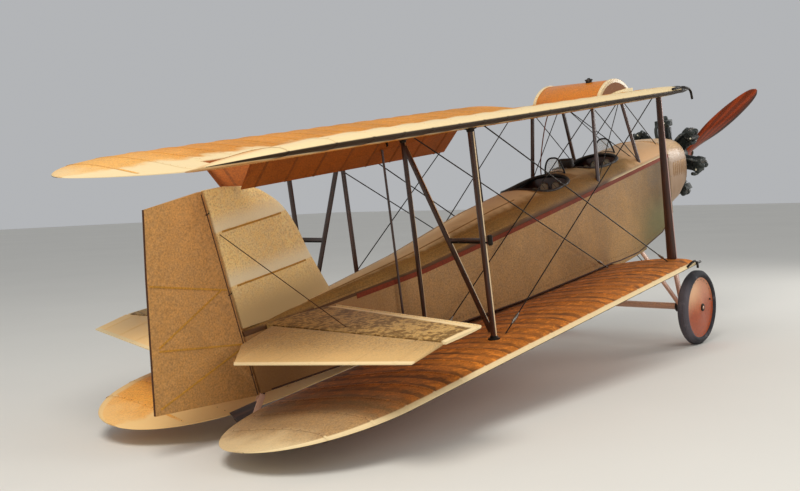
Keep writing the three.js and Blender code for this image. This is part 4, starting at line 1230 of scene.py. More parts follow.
def nose_hooks(sign):
    """Thin bent rods at the root, ahead of the nose of each wing."""
    out = FOLD_Y + FRONT_OF_PIN
    upper = [
        [-0.2, out - 0.002, 1.424], [-0.09, out + 0.006, 1.426], [-0.02, out + 0.02, 1.42],
        [0.06, out + 0.022, 1.39], [0.085, out + 0.022, 1.32]]
    lower = [
        [-0.2, out - 0.006, 0.005], [-0.13, out + 0.004, 0.03], [-0.07, out + 0.01, 0.032],
        [-0.04, out + 0.01, 0.005], [-0.034, out + 0.01, -0.03]]
    return [stand(curve_through(line, 5) * [1, sign, 1]) for line in (upper, lower)]


def hinge_eye(at, axis):
    return turned(washer(-EYE_HALF, EYE_HALF, EYE_BORE, EYE_RIM), at, axis, 20)


def aileron_brackets(sign):
    """Plates with eyes that carry the aileron."""
    shapes = []
    for station in AILERON_HINGES:
        at = np.array([AILERON_HINGE, station, wing_middle(AILERON_HINGE)])
        arm = block(at + [0.03, 0, 0], (0.044, 0.008, 0.014))
        shapes.extend([hinge_eye(at, (0, 1, 0)), arm])
    points, faces = together(shapes)
    return folded(points, sign, True), faces


def dress_wings(name, sign):
    body = f"{name}_wings"
    for upper in (False, True):
        wing_skin(name, sign, upper)
        wing_tapes(name, sign, upper)
    fittings = [fold_fitting(sign, False), fold_fitting(sign, True), aileron_brackets(sign)]
    piece(f"wing_fittings_{name}", together(fittings), "wire", "wire", body, bevel=0.001)
    strips = [nose_strip(sign, False), nose_strip(sign, True)]
    piece(f"nose_strips_{name}", together(strips), "wire", "wire", body)
    wires(f"nose_hooks_{name}", nose_hooks(sign), 0.01, "wire", body=body)


# Struts and stays of the wings

def strut_foot(forward, station, sign):
    return folded([[forward, station, wing_middle(forward)]], sign, False)[0]


def strut_head(forward, station, sign):
    height = wing_middle(forward) + WING_GAP + DIHEDRAL * station
    return folded([[forward, station, height]], sign, False)[0]


def turnbuckle(start, end, share):
    """A barrel with two eyes on a stay, at a share of its length."""
    half = [(0.05, 0.0), (0.05, 0.006), (0.032, 0.007), (0.026, 0.011)]
    profile = [(-along, radius) for along, radius in half] + half[::-1]
    return turned(profile, start + (end - start) * share, end - start, 14)


def note_edge(thing, sign):
    """Keeps in a mesh how far each of its points faces the strut's outer edge, where a painted highlight
    goes.
    """
    facing = facings(thing.data)
    flat = facing - np.outer(facing @ UP, UP)
    flat /= np.maximum(np.linalg.norm(flat, axis=1), 1e-6)[:, None]
    keep(thing.data, "edge", flat @ [0.55, sign * 0.835, 0.0])


def cross_bar(name, sign):
    """A second rod beside the bar between the struts, with a knob at its end."""
    start, end = [-STRUT_STATION, sign * 0.56, 0.672], [-STRUT_STATION, sign * 0.905, 0.672]
    rod = pipe(np.linspace(start, end, 3), 0.007, 12)
    radius = 0.017
    profile = [(0.0, 0.0), (0.0, 0.012), (0.006, radius), (0.06, radius), (0.066, 0.012), (0.066, 0.0)]
    knob = turned(profile, np.array(end) - [0, 0, radius], (0, 0, 1), 20)
    level_piece(f"cross_rod_{name}", together([rod, knob]), "wire", "wire", f"{name}_wings")


def dress_struts(name, sign):
    body = f"{name}_wings"
    for node, finish in (("interplane_struts", "strut_edged"), ("jury_strut", "jury")):
        note_edge(finished(f"{node}_{name}", finish, bevel=0), sign)
    finished(f"aileron_rod_{name}", "strut", bevel=0)
    for place in ("front", "rear"):
        for kind in ("flying", "landing"):
            finished(f"{place}_{kind}_stay_{name}", "wire", bevel=0)
    cross_bar(name, sign)
    buckles, shoes = [], []
    outer = STRUT_STATION - 0.07
    for low, high, inner in ((0.575, FRONT_SPAR, 0.08), (0.045, REAR_SPAR, 0.13)):
        for near, far, step, share in ((low, high, STAY_SHIFT, 0.07), (high, low, -STAY_SHIFT, 0.08)):
            ends = (inner, outer) if step > 0 else (outer, inner)
            start = strut_foot(near + step, ends[0], sign)
            buckles.append(turnbuckle(start, strut_head(far + step, ends[1], sign), share))
    for forward, width in ((FRONT_SPAR, 0.058), (REAR_SPAR, 0.05)):
        for at, way in ((strut_foot, 1), (strut_head, -1)):
            shoes.append(strut_shoe(at(forward, STRUT_STATION, sign), way, width, forward))
    piece(f"turnbuckles_{name}", together(buckles), "steel", "steel", body)
    piece(f"strut_shoes_{name}", together(shoes), "wire", "wire", body, bevel=0.001)


def strut_shoe(at, way, width, forward):
    """A metal socket where a strut meets a wing's surface."""
    surface = wing_height(forward, way) - wing_middle(forward)
    base = at + UP * surface
    cosines, sines = circle(20)
    rows = []
    for height, grow_by in ((-0.004, 1.6), (0.004, 1.5), (0.008, 1.0), (0.022, 0.92)):
        ring = cosines[:, None] * np.array([0, 1, 0]) * width / 2 + sines[:, None] * FORWARD * 0.022
        rows.append(base + way * height * UP + ring * grow_by)
    return loft(rows)


def root_braces(name, sign):
    """Thin wires from the cabane's feet to the foot of the jury strut."""
    near, far = (0.575, 0.06, sign), (0.1, 1.25, sign)
    lines = [[strut_foot(*near), strut_foot(*far)], [strut_head(*near), strut_head(*far)]]
    wires(f"drag_wires_{name}", lines, dressing().wire_radius, "wire", body=f"{name}_wings")


# Ailerons

def aileron_place(points, sign):
    """Points about the aileron's hinge, drooped, in their place on the parked aeroplane."""
    forward, station, up = columns(points)
    forward, up = swung(forward, up, AILERON_DROOP)
    moved = [forward + AILERON_HINGE, station, up + wing_middle(AILERON_HINGE)]
    return folded(np.stack(moved, -1), sign, True)


def dress_aileron(name, sign):
    sizes = dressing()
    finished(f"aileron_{name}", "aileron", angle=40)
    body = f"{name}_aileron"
    rise = chord_line(-BEHIND_PIN) - wing_middle(AILERON_HINGE)
    away = np.subtract(*aileron_place([[0, 0, 1], [0, 0, 0]], sign))
    tapes, knots = [], []
    for station in np.arange(AILERON_START + 0.12, AILERON_END, sizes.rib_pitch):
        for side in (1, -1):
            line = [
                [-0.004, station, side * AILERON_NOSE],
                [-AILERON_CHORD / 2, station, (side * (AILERON_NOSE + TRAILING_HALF) + rise) / 2],
                [-AILERON_CHORD, station, rise + side * TRAILING_HALF],
            ]
            placed = aileron_place(line, sign)
            facing = away * side
            tapes.append(ribbon(placed, facing, sizes.tape_width, 0.001, 0.0003))
            knots.extend(knots_along(placed, facing, sizes.stitch_pitch))
    piece(f"aileron_tapes_{name}", together(tapes), "aileron_tape", "aileron_fabric", body)
    planted(f"aileron_knots_{name}", knots, "aileron_tape", body)
    horn = [[0.0, 2.6, -0.015], [-0.02, 2.6, -0.05], [-0.005, 2.6, -0.052], [0.015, 2.6, -0.015]]
    rows = [aileron_place(np.array(horn) + [0, shift, 0], sign) for shift in (-0.004, 0.004)]
    piece(f"aileron_horn_{name}", loft(rows), "wire", "wire", body, bevel=0.0008)


# Fuselage

def frame_at(x):
    """Half width, keel, longeron and crown heights at a station."""
    return [np.interp(x, FRAMES[:, 0], FRAMES[:, column]) for column in range(1, 5)]


def deck_height(x, y):
    half, _, longeron, crown = frame_at(x)
    return longeron + math.sqrt(max(0, 1 - (y / half) ** 2)) * (crown - longeron)


def deck_row(x, inset=0, drop=0, steps=48):
    half, _, longeron, crown = frame_at(x)
    turns = np.arange(steps + 1) / steps * math.pi
    y = np.cos(turns) * (half - inset)
    z = longeron + 0.0003 - drop + np.sin(turns) * (crown - longeron - inset + drop)
    return np.stack([np.full(len(y), x), y, z], 1)


def opening(centre, length, width, count=72):
    """Points round a cockpit's opening, seen from above."""
    cosines, sines = circle(count)
    along = np.sign(cosines) * np.abs(cosines) ** OPENING_POWER
    across = np.sign(sines) * np.abs(sines) ** OPENING_POWER
    return centre + along * length / 2, across * width / 2


def rudder_line(z):
    lean = RUDDER_TOP - RUDDER_FOOT
    return RUDDER_FOOT[0] + lean[0] * (z - RUDDER_FOOT[2]) / lean[2]


def standing(shape):
    """A shape of the level aeroplane where it is on the parked one."""
    points, faces = shape
    return stand(points), faces


def make_deck():
    """The rounded top of the fuselage, hollow over the cockpits."""
    stations = np.unique(np.concatenate([FRAMES[:, 0], np.arange(-3.85, 1.28, 0.16)]))
    rows = [deck_row(x) for x in stations]
    rows[0][:, 0] = [rudder_line(z) + POST_RADIUS + RUN_CLEARANCE for z in rows[0][:, 2]]
    deck = object_from("deck_skin", standing(loft(rows)))
    tidy_mesh(deck.data)
    hollow = loft([deck_row(x, DECK_WALL, LINING_DROP) for x in (-1.32, -0.4, 0.7, 1.12)])
    cut(deck, standing(hollow))
    for _, centre, length, width, _, _ in COCKPITS:
        x, y = opening(centre, length, width)
        hole = loft([np.stack([x, y, np.full(len(x), z)], 1) for z in (0.5, 1.1)])
        cut(deck, standing(hole))
    settle(deck, "body_deck", angle=30)
    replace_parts(deck, "fuselage_deck")


def longeron_stripes():
    """A red moulding along the joint between the side and the deck, both sides."""
    shapes = []
    for _, sign in SIDES:
        line = []
        for x in np.linspace(-2.95, 1.27, 52):
            half, _, longeron, _ = frame_at(x)
            line.append([x, sign * (half + 0.0004), longeron - 0.006])
        shapes.append(ribbon(line, [0, sign, 0], 0.034, 0.003))
    level_piece("longeron_stripes", together(shapes), "trim", "body_fabric")


def keel_mouldings():
    """A dark edge strip along the bottom of each side."""
    lines = []
    for _, sign in SIDES:
        line = []
        for x in np.linspace(-3.7, 1.25, 60):
            half, keel, _, _ = frame_at(x)
            line.append([x, sign * (half - 0.003), keel + 0.008])
        lines.append(stand(line))
    wires("keel_mouldings", lines, 0.007, "seam")


def deck_stringers():
    """Tapes along the deck behind the rear cockpit."""
    shapes = []
    for turn in np.radians([18, 42, 66, 114, 138, 162]):
        line, normals = [], []
        for x in np.linspace(-3.3, -1.05, 24):
            half, _, longeron, crown = frame_at(x)
            rise = crown - longeron
            line.append([x, math.cos(turn) * half, longeron + math.sin(turn) * rise])
            normals.append([0, math.cos(turn) * rise, math.sin(turn) * half])
        normals = np.array(normals) / np.linalg.norm(normals, axis=1)[:, None]
        shapes.append(ribbon(line, normals, dressing().tape_width * 0.6, TAPE_THICKNESS, 0.0004))
    level_piece("deck_tapes", together(shapes), "body_deck_tape", "deck_fabric")


def side_lacing():
    """Knots that lace the fabric along the lower longerons."""
    sizes = dressing()
    spots = []
    for _, sign in SIDES:
        facing = np.array([0.0, sign, 0.0])
        for x in np.arange(-3.3, 1.2, sizes.stitch_pitch * 0.5):
            half, keel, _, _ = frame_at(x)
            place = stand([x, sign * (half + 0.0005), keel + 0.05])
            spots.append((place, facing, (0.003, 0.007, 0.0016)))
    planted("side_lacing", spots, "body_side_tape")


def make_fuselage():
    finished("fuselage", "body_side", "hull_skin", 28, 0.002)
    make_deck()
    longeron_stripes()
    keel_mouldings()
    deck_stringers()
    side_lacing()


# Cowl, with its fasteners and louvres

COWL_ROWS = np.array([
    [1.2803, 0.34, 0.19, 0.9, 0.55],
    [1.56, 0.33, 0.254, 0.893, 0.6],
    [1.73, 0.304, 0.32, 0.872, 0.7],
    [1.812, 0.268, 0.38, 0.842, 0.8],
    [COWL_FRONT, 0.205, 0.45, 0.8, 0.9],
])


def cowl_ring(x, grow_by=0.0, count=96):
    """Points round the cowl at a station."""
    half, low, high, power = [np.interp(x, COWL_ROWS[:, 0], COWL_ROWS[:, c]) for c in range(1, 5)]
    cosines, sines = circle(count)
    across = np.sign(cosines) * np.abs(cosines) ** power * (half + grow_by)
    up = np.sign(sines) * np.abs(sines) ** power * ((high - low) / 2 + grow_by)
    return np.stack([np.full(count, x), across, (low + high) / 2 + up], 1)


def make_cowl():
    """The nose cowl with its bands, fasteners and louvres."""
    stations = curve_through(COWL_ROWS[:, :1], 5)[:, 0]
    cowl = level_piece(
        "cowl_skin", loft([cowl_ring(x) for x in stations]), "cowl", "cowl_metal", angle=30)
    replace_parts(cowl, "nose_cowl")
    radius = dressing().stud_radius
    bands, studs = [], []
    for x in (1.3, 1.72):
        bands.append(hoop(x, 0.022, 0.0015))
        for place in cowl_ring(x)[::4]:
            away = place - [x, 0, THRUST_LINE]
            away /= np.linalg.norm(away)
            studs.append((stand(place + 0.002 * away), away @ BASIS, (radius, radius, radius * 0.5)))
    level_piece("cowl_bands", together(bands), "cowl", "cowl_metal")
    planted("cowl_studs", studs, "steel")
    make_louvres()


def hoop(x, width, thickness):
    """A flat band round the cowl."""
    corners = washer(-width / 2, width / 2, 0.0, thickness)
    return loft([cowl_ring(x + shift, grow_by) for shift, grow_by in corners], True, False)


def make_louvres():
    """Pressed cooling slots in both sides of the cowl."""
    spots = []
    for _, sign in SIDES:
        for x in np.arange(1.38, 1.66, 0.045):
            half = np.interp(x, COWL_ROWS[:, 0], COWL_ROWS[:, 1])
            spots.append((stand([x, sign * (half - 0.001), 0.6]), [0, sign, 0], (0.009, 0.075, 0.009)))
    planted("cowl_louvres", spots, "cowl")


# Cockpits

# Place across, height and radius of each dial, from the middle of the board
DIALS = (
    (-0.16, 0.0, 0.036), (-0.055, 0.035, 0.045), (0.06, 0.03, 0.045), (0.16, 0.0, 0.036),
    (0.0, -0.055, 0.03),
)


def coaming(name, centre, length, width):
    """A padded leather roll round an opening."""
    sizes = dressing()
    x, y = opening(centre, length, width, 96)
    line = np.array([[px, py, deck_height(px, py)] for px, py in zip(x, y)])
    roll = level_piece(
        f"{name}_coaming", pipe(line, sizes.coaming_radius, 14, True), "leather", "leather", angle=60)
    spots = []
    for place in line[::3]:
        outward = np.array([place[0] - centre, place[1], 0.0])
        outward /= np.linalg.norm(outward)
        at = place + 0.9 * sizes.coaming_radius * outward + [0, 0, 0.002]
        spots.append((stand(at), (outward + [0, 0, 0.6]) @ BASIS, (0.003, 0.003, 0.002)))
    planted(f"{name}_coaming_tacks", spots, "steel")


def windscreen(name, screen):
    """A curved pane in a dark frame."""
    half, rake, height, low, power = 0.096, 0.45, 0.118, 0.01, 3.2
    crown = frame_at(screen)[3]
    top, foot = [], []
    for share in np.linspace(-1, 1, 33):
        y = share * half
        rise = low + height * (1 - abs(share) ** power)
        swept = screen - 0.05 * share ** 2
        foot.append([swept, y, deck_height(swept, y) - 0.001])
        top.append([swept - rake * rise, y, crown + rise])
    foot, top = np.array(foot), np.array(top)
    thick = np.array([0.004, 0, 0])
    rows = np.stack([foot, foot + thick, top + thick, top], 1)
    pane = level_piece(f"{name}_windscreen_pane", loft(rows), "pane", "screen", angle=30)
    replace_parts(pane, f"{name}_windscreen")
    rim = np.vstack([foot[:1], top, foot[-1:]]) + thick / 2
    lines = [stand(rim), stand(foot + thick / 2)]
    wires(f"{name}_windscreen_frame", lines, 0.0075, "black", sides=10)


def instrument_panel(name, centre, length):
    """A curved board under the front of the opening, with round dials."""
    x = centre + length / 2 - 0.012
    half, _, longeron, _ = frame_at(x)
    inset = 0.02
    arch = deck_row(x, inset, 0)[::2]
    board = np.vstack([arch, [[x, -half + inset, longeron - 0.09], [x, half - inset, longeron - 0.09]]])
    level_piece(
        f"{name}_panel", loft([board, board + [0.012, 0, 0]]), "strut", "dark_wood", bevel=0.001)
    rims, faces, hands = [], [], []
    for y, z, radius in DIALS:
        at = np.array([x - 0.001, y, longeron + 0.035 + z])
        inner = radius - 0.007
        ring = [(0.0, radius), (0.008, radius), (0.011, radius - 0.004), (0.008, inner), (0.0, inner)]
        rims.append(turned([*ring, ring[0]], at, (-1, 0, 0), 32))
        face = radius - 0.006
        faces.append(turned([(0.0, 0.0), (0.0, face), (0.003, face), (0.003, 0.0)], at, (-1, 0, 0), 32))
        hands.append(block(at + [-0.0045, 0.006, 0.006], (0.001, 0.003, radius), hand_axes()))
    groups = {"rims": (rims, "steel"), "faces": (faces, "dial"), "hands": (hands, "black")}
    for kind, (shapes, finish) in groups.items():
        level_piece(f"{name}_dial_{kind}", together(shapes), finish, "steel")


def hand_axes():
    turn = math.radians(-38)
    return [[1, 0, 0], [0, math.cos(turn), math.sin(turn)], [0, -math.sin(turn), math.cos(turn)]]


def controls(name, centre):
    """A stick with its grip, and a rudder bar."""
    floor, bar_height, bar_reach, radius = 0.0305, 0.12, 0.16, 0.011
    foot = np.array([centre + 0.12, 0, floor])
    head = np.array([centre + 0.06, 0, 0.48])
    pivot = [centre + 0.45, 0, bar_height]
    ends = [[centre + 0.42, sign * bar_reach, bar_height] for sign in (-1, 1)]
    stick = pipe(np.linspace(foot, head, 6), radius, 12)
    boot = turned(
        [(0.0, 0.0), (0.0, 0.05), (0.03, 0.045), (0.06, 0.018), (0.06, 0.0)], foot, (0, 0, 1), 24)
    bar = pipe([ends[0], pivot, ends[1]], radius, 12)
    post = pipe([[centre + 0.45, 0, floor], pivot], 0.012, 12)
    level_piece(f"{name}_controls", together([stick, boot, bar, post]), "steel", "steel")
    thickness = 0.016 + 0.003 * np.sin(np.arange(9) * 1.3)
    grip = pipe(np.linspace(head, head + [-0.012, 0, 0.11], 9), thickness, 14)
    level_piece(f"{name}_stick_grip", grip, "leather", "leather", angle=60)


def cushion(name, centre, size, lean_back):
    """A sewn pad: a rounded block, filled out by pressure."""
    thing = object_from(name, block((0, 0, 0), size))
    tidy_mesh(thing.data)
    remesh = thing.modifiers.new("even", "REMESH")
    remesh.mode = "VOXEL"
    remesh.voxel_size = PAD_GRID
    apply_modifiers(thing)
    puff(thing)
    turn = Matrix.Rotation(-LEAN - lean_back, 4, "Y")
    thing.data.transform(Matrix.Translation(stand(centre)) @ turn)
    settle(thing, "leather", angle=80)


def puff(thing):
    """Blows a pad up a little with a short cloth simulation and keeps the result."""
    before = np.array([v.co for v in thing.data.vertices])
    cloth = thing.modifiers.new("fill", "CLOTH")
    cloth.settings.use_pressure = True
    cloth.settings.uniform_pressure_force = PAD_PRESSURE
    cloth.settings.effector_weights.gravity = 0
    scene = bpy.context.scene
    for number in range(1, PAD_FRAMES + 1):
        scene.frame_set(number)
    apply_modifiers(thing)
    scene.frame_set(1)
    moved = np.array([v.co for v in thing.data.vertices]) - before
    reach = np.linalg.norm(moved, axis=1)[:, None]
    capped = before + moved * np.minimum(1, PAD_GROWTH / np.maximum(reach, 1e-9))
    thing.data.vertices.foreach_set("co", capped.ravel())
    smooth = thing.modifiers.new("smooth", "SUBSURF")
    smooth.levels = smooth.render_levels = 1
    apply_modifiers(thing)


def make_seats():
    for name, _, _, _, _, back in COCKPITS:
        finished(f"{name}_seat", "seat_shell", bevel=0.004)
        cushion(f"{name}_seat_pad", (back + 0.19, 0, 0.262), (0.3, 0.29, 0.045), 0)
        cushion(f"{name}_back_pad", (back + 0.052, 0, 0.46), (0.04, 0.29, 0.28), 0)
        belts(name, back)


def belts(name, back):
    """A lap strap over the seat, with its buckle."""
    turns = np.linspace(0, math.pi, 17)
    cosines, sines = np.cos(turns), np.sin(turns)
    line = np.stack([back + 0.12 + 0.05 * sines, 0.15 * cosines, 0.3 + 0.03 * sines], 1)
    strap = ribbon(line, [0, 0, 1], 0.04, 0.003)
    level_piece(f"{name}_lap_strap", strap, "trim", "leather")
    buckle = turned(washer(-0.003, 0.003, 0.018, 0.026), (back + 0.17, 0, 0.336), (0, 0, 1), 24)
    level_piece(f"{name}_buckle", buckle, "steel", "steel")


def head_pad():
    """A small padded rest behind the front cockpit."""
    _, centre, length, _, _, _ = COCKPITS[0]
    x = centre - length / 2 - 0.035
    crown = frame_at(x)[3]
    cushion("front_head_pad", (x, 0, crown + 0.045), (0.045, 0.14, 0.085), 0.15)
    stem = pipe([[x - 0.005, 0, crown - 0.02], [x, 0, crown + 0.02]], 0.012, 12)
    level_piece("front_head_pad_stem", stem, "steel", "steel")


def make_cockpits():
    for name, centre, length, width, screen, _ in COCKPITS:
        coaming(name, centre, length, width)
        windscreen(name, screen)
        instrument_panel(name, centre, length)
        controls(name, centre)
    make_seats()
    head_pad()


# Centre sections, tank and cabane

TANK_HALF = 0.335
TANK_AFT = 0.09
TANK_FORE = 0.64
TANK_FOOT = -0.015
TANK_HEIGHT = 0.15
TANK_RIM = 0.03
TANK_CAP = np.array([0.33, -0.11, 0.115])


def tank_arch(y, grow_by, steps=48):
    t = np.arange(steps + 1) / steps
    x = TANK_FORE + grow_by + (TANK_AFT - TANK_FORE - 2 * grow_by) * t
    rise = (TANK_HEIGHT + grow_by) * np.sin(math.pi * t) ** 0.6
    return np.stack([x, np.full(len(x), y), WING_GAP + TANK_FOOT + rise], 1)


def tank_bands(reach, *stations):
    """A band over the tank at each end, between two places given from the middle."""
    return together([loft([tank_arch(sign * y, reach) for y in stations]) for _, sign in SIDES])


def make_tank():
    body = loft([tank_arch(y, 0) for y in (-TANK_HALF, -0.11, 0.11, TANK_HALF)])
    tank = level_piece("tank_body", body, "tank", "tank_metal", angle=30, bevel=0.002)
    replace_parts(tank, "fuel_tank")
    rims = tank_bands(0.007, TANK_HALF + 0.0005, TANK_HALF - TANK_RIM)
    level_piece("tank_rims", rims, "tank_rim", "tank_metal", angle=30, bevel=0.003)
    # The tank's end faces are dark brown: painted shade
    ends = tank_bands(-0.026, TANK_HALF + 0.0004, TANK_HALF + 0.004)
    level_piece("tank_ends", ends, "tank_end", "tank_metal", angle=30)
    profile = [
        (0.0, 0.0), (0.0, 0.034), (0.012, 0.029), (0.034, 0.029), (0.036, 0.036), (0.046, 0.034),
        (0.05, 0.014), (0.058, 0.01), (0.058, 0.0)]
    filler = turned(profile, TANK_CAP + [0, 0, WING_GAP], (0, 0, 1), 36)
    level_piece("tank_filler", filler, "wire", "steel")


def make_centre():
    finished("upper_centre_section", "wing_top_plain", angle=30)
    finished("lower_centre_section", "body_side", angle=30)
    make_tank()
    line = [[0.2, 0.2, WING_GAP + 0.01], [0.1, 0.24, 1.2], [0.05, 0.29, 0.9], [0.06, 0.31, 0.7]]
    wires("fuel_pipe", [curve_through(stand(line), 8)], 0.005, "copper", sides=10)


def make_cabane():
    """The struts that carry the upper centre section, with their wires."""
    lines = []
    for name, sign in SIDES:
        for place in ("front", "rear"):
            finished(f"{place}_cabane_strut_{name}", "strut", bevel=0)
        front_foot, rear_foot = [0.712, sign * 0.335, 0.76], [-0.065, sign * 0.335, 0.72]
        front_top = [0.5, sign * 0.3, WING_GAP - 0.04]
        lines.append([front_foot, [0.015, sign * 0.3, WING_GAP - 0.07]])
        lines.append([rear_foot, front_top])
        lines.append([[0.52, sign * 0.3, WING_GAP - 0.04], [1.22, sign * 0.25, 0.87]])
        lines.append([[0.712, sign * 0.32, 0.76], [0.5, -sign * 0.3, WING_GAP - 0.04]])
    wires("cabane_wires", [stand(line) for line in lines], dressing().stay_radius, "wire")


# Engine

def on_cylinder(points, turn):
    """Points of an upright cylinder, as forward, across and out, in their place round the engine."""
    forward, across, out = columns(points)
    across, up = swung(across, out, turn)
    return np.stack([ENGINE_X + forward, across, THRUST_LINE + up], -1)


def cylinder_turns():
    return np.arange(CYLINDERS) * 2 * math.pi / CYLINDERS


def cylinder_way(turn):
    """The way that a cylinder stands out, on the parked aeroplane."""
    return [0, -math.sin(turn), math.cos(turn)] @ BASIS


def round_engine(shape):
    """One cylinder's shape, repeated on all of them."""
    points, faces = shape
    return together([(on_cylinder(points, turn), faces) for turn in cylinder_turns()])


def make_engine():
    """The radial engine: crankcase, fins, heads, pipes and studs."""
    foot = COWL_FRONT + 0.0003
    profile = [
        (foot, 0.0), (foot, 0.12), (1.88, 0.163), (1.89, 0.165), (2.045, 0.165), (2.06, 0.152),
        (2.065, 0.125), (2.09, 0.12), (2.23, 0.095), (2.27, 0.07), (2.3247, 0.06), (2.3247, 0.0),
    ]
    case = turned(profile, (0, 0, THRUST_LINE), (1, 0, 0), 64)
    profile = [(0.12, 0.0), (0.12, 0.066), (0.162, 0.066), (0.165, 0.047), (0.33, 0.047), (0.33, 0.0)]
    barrel = turned(profile, (0, 0, 0), (0, 0, 1), 28)
    level_piece("crankcase", together([case, round_engine(barrel)]), "enamel", "engine_metal")
    engine_fins()
    engine_heads()
    engine_pipes()
    engine_studs()


def engine_fins():
    """Thin discs stacked on every barrel and head."""
    count = dressing().fin_count
    discs = [(0.17 + i * 0.15 / count, (0.073, 0.073, 0.0028)) for i in range(count)]
    discs += [(0.328 + i * 0.011, (0.084, 0.082, 0.003)) for i in range(5)]
    spots = []
    for turn in cylinder_turns():
        for height, size in discs:
            spots.append((stand(on_cylinder([0, 0, height], turn)), cylinder_way(turn), size))
    fins = planted("engine_fins", spots, "enamel", tree="discs")
    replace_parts(fins, "engine")


def engine_heads():
    """Cylinder heads with their rocker boxes and valve springs."""
    shapes, springs = [block((0, 0, 0.356), (0.136, 0.13, 0.058))], []
    cosines, sines = circle(20)
    turns = np.linspace(0, 2 * math.pi * 4, 40)
    for way in (-1, 1):
        rows = []
        for height, grow_by in ((0.378, 1.0), (0.405, 1.0), (0.418, 0.8), (HEAD_RADIUS, 0.45)):
            x, y = way * 0.042 + cosines * 0.03 * grow_by, sines * 0.029 * grow_by
            rows.append(np.stack([x, y, np.full(20, height)], 1))
        shapes.append(loft(rows))
        x, y = way * 0.036 + 0.013 * np.cos(turns), 0.034 + 0.013 * np.sin(turns)
        springs.append(pipe(np.stack([x, y, np.linspace(0.375, 0.412, 40)], 1), 0.0022, 6))
    level_piece("cylinder_heads", round_engine(together(shapes)), "enamel", "engine_metal", bevel=0.003)
    level_piece("valve_springs", round_engine(together(springs)), "steel", "steel")


def engine_pipes():
    """Push rod tubes, intake pipes, short exhausts and spark plugs."""
    rods = [
        pipe([[0.096, way * 0.03, 0.118], [0.052, way * 0.022, 0.395]], 0.0065, 12) for way in (-1, 1)]
    intake = [[-0.06, 0.0, 0.15], [-0.085, 0.035, 0.19], [-0.085, 0.05, 0.3], [-0.05, 0.03, 0.36]]
    exhaust = [[0.0, -0.03, 0.36], [-0.02, -0.075, 0.362], [-0.06, -0.09, 0.35], [-0.1, -0.085, 0.335]]
    plugs = [
        pipe([[way * 0.05, -0.03, 0.35], [way * 0.085, -0.045, 0.362]], 0.008, 10) for way in (-1, 1)]
    for name, shape, finish, slot in (
        ("push_rods", together(rods), "steel", "steel"),
        ("intake_pipes", pipe(curve_through(intake, 6), 0.015, 14), "enamel", "engine_metal"),
        ("exhausts", pipe(curve_through(exhaust, 6), 0.017, 16), "enamel", "engine_metal"),
        ("spark_plugs", together(plugs), "dial", "steel"),
    ):
        level_piece(name, round_engine(shape), finish, slot)


def engine_studs():
    """Domed nuts round the crankcase's front and every cylinder's foot."""
    spots = []
    for cosine, sine in zip(*circle(16)):
        place = [2.062, 0.14 * cosine, THRUST_LINE + 0.14 * sine]
        spots.append((stand(place), FORWARD, (0.007, 0.007, 0.006)))
    for turn in cylinder_turns():
        for cosine, sine in zip(*circle(8, math.pi / 8)):
            at = on_cylinder([0.057 * cosine, 0.057 * sine, 0.163], turn)
            spots.append((stand(at), cylinder_way(turn), (0.006, 0.006, 0.005)))
    planted("engine_studs", spots, "steel")


# Propeller

BLADE_ROWS = np.array([
    [0.03, 0.09, 0.08, 60], [0.16, 0.11, 0.06, 50], [0.38, 0.165, 0.034, 33], [0.62, 0.17, 0.022, 23],
    [0.84, 0.135, 0.014, 18], [0.95, 0.085, 0.009, 16], [PROPELLER_LENGTH / 2, 0.022, 0.005, 16],
])


BLADE_SIDES = 32


def blade(way):
    """One blade, and how near each point is to its leading edge."""
    rows, lead = [], []
    cosines, sines = circle(BLADE_SIDES)
    for radius, width, thick, twist in curve_through(BLADE_ROWS, 6):
        x, y = swung(cosines * thick / 2, sines * width / 2, math.radians(twist) * way)
        rows.append(np.stack([x, y, np.full(BLADE_SIDES, radius * way)], 1))
        lead.append(np.clip(-sines * way, 0, 1))
    return loft(rows), np.array(lead).ravel()


def on_propeller(points):
    x, y, z = columns(points)
    y, z = swung(y, z, PROPELLER_TURN)
    return np.stack([PROPELLER_X + x, y, THRUST_LINE + z], -1)


def make_propeller():
    """Both blades with their boss, and the hub with its bolts."""
    shapes, leads = zip(blade(1), blade(-1))
    profile = [
        (-0.045, 0.0), (-0.045, 0.056), (-0.039, 0.062), (0.039, 0.062), (0.045, 0.056), (0.045, 0.0)]
    boss = turned(profile, (0, 0, 0), (1, 0, 0), 40)
    points, faces = together([*shapes, boss])
    values = {"lead": np.concatenate([*leads, np.zeros(len(boss[0]))])}
    blades = level_piece(
        "propeller_blades", (on_propeller(points), faces), "propeller", "propeller_wood", "airscrew",
        angle=40, values=values)
    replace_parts(blades, "propeller")
    finished("propeller_hub", "steel", "hub_plate", 35)
    spots = []
    for cosine, sine in zip(*circle(8)):
        place = on_propeller([0.062, 0.056 * cosine, 0.056 * sine])
        spots.append((stand(place), FORWARD, (0.008, 0.008, 0.007)))
    planted("hub_bolts", spots, "steel", "airscrew")


# Tail

# Height and leading edge of the fin, and its half thickness along its chord, as shares
FIN_ROWS = np.array([
    [0.42, -3.03], [0.75, -3.2], [0.92, -3.27], [1.08, -3.37], [1.18, -3.49], [1.235, -3.6],
    [1.268, -3.8],
])
FIN_OUTLINE = np.array([
    [0, 0.1], [0.02, 0.35], [0.06, 0.55], [0.12, 0.7], [0.3, 0.93], [0.5, 1], [1, 0.84],
])
FIN_HALF = 0.022
FIN_TOP_TAPER = (1.2, 0.068, 0.007)
# Heights along the rudder's trailing edge, and where it lies there
RUDDER_BACK = np.array([[0.104, -4.52], [0.47, -4.478], [0.86, -4.43], [1.23, -4.376]])
TAIL_TAPE_WIDTH = 0.012


def fin_back(z):
    """Where the fin ends, just ahead of the rudder."""
    return rudder_line(z) + POST_RADIUS + RUN_CLEARANCE


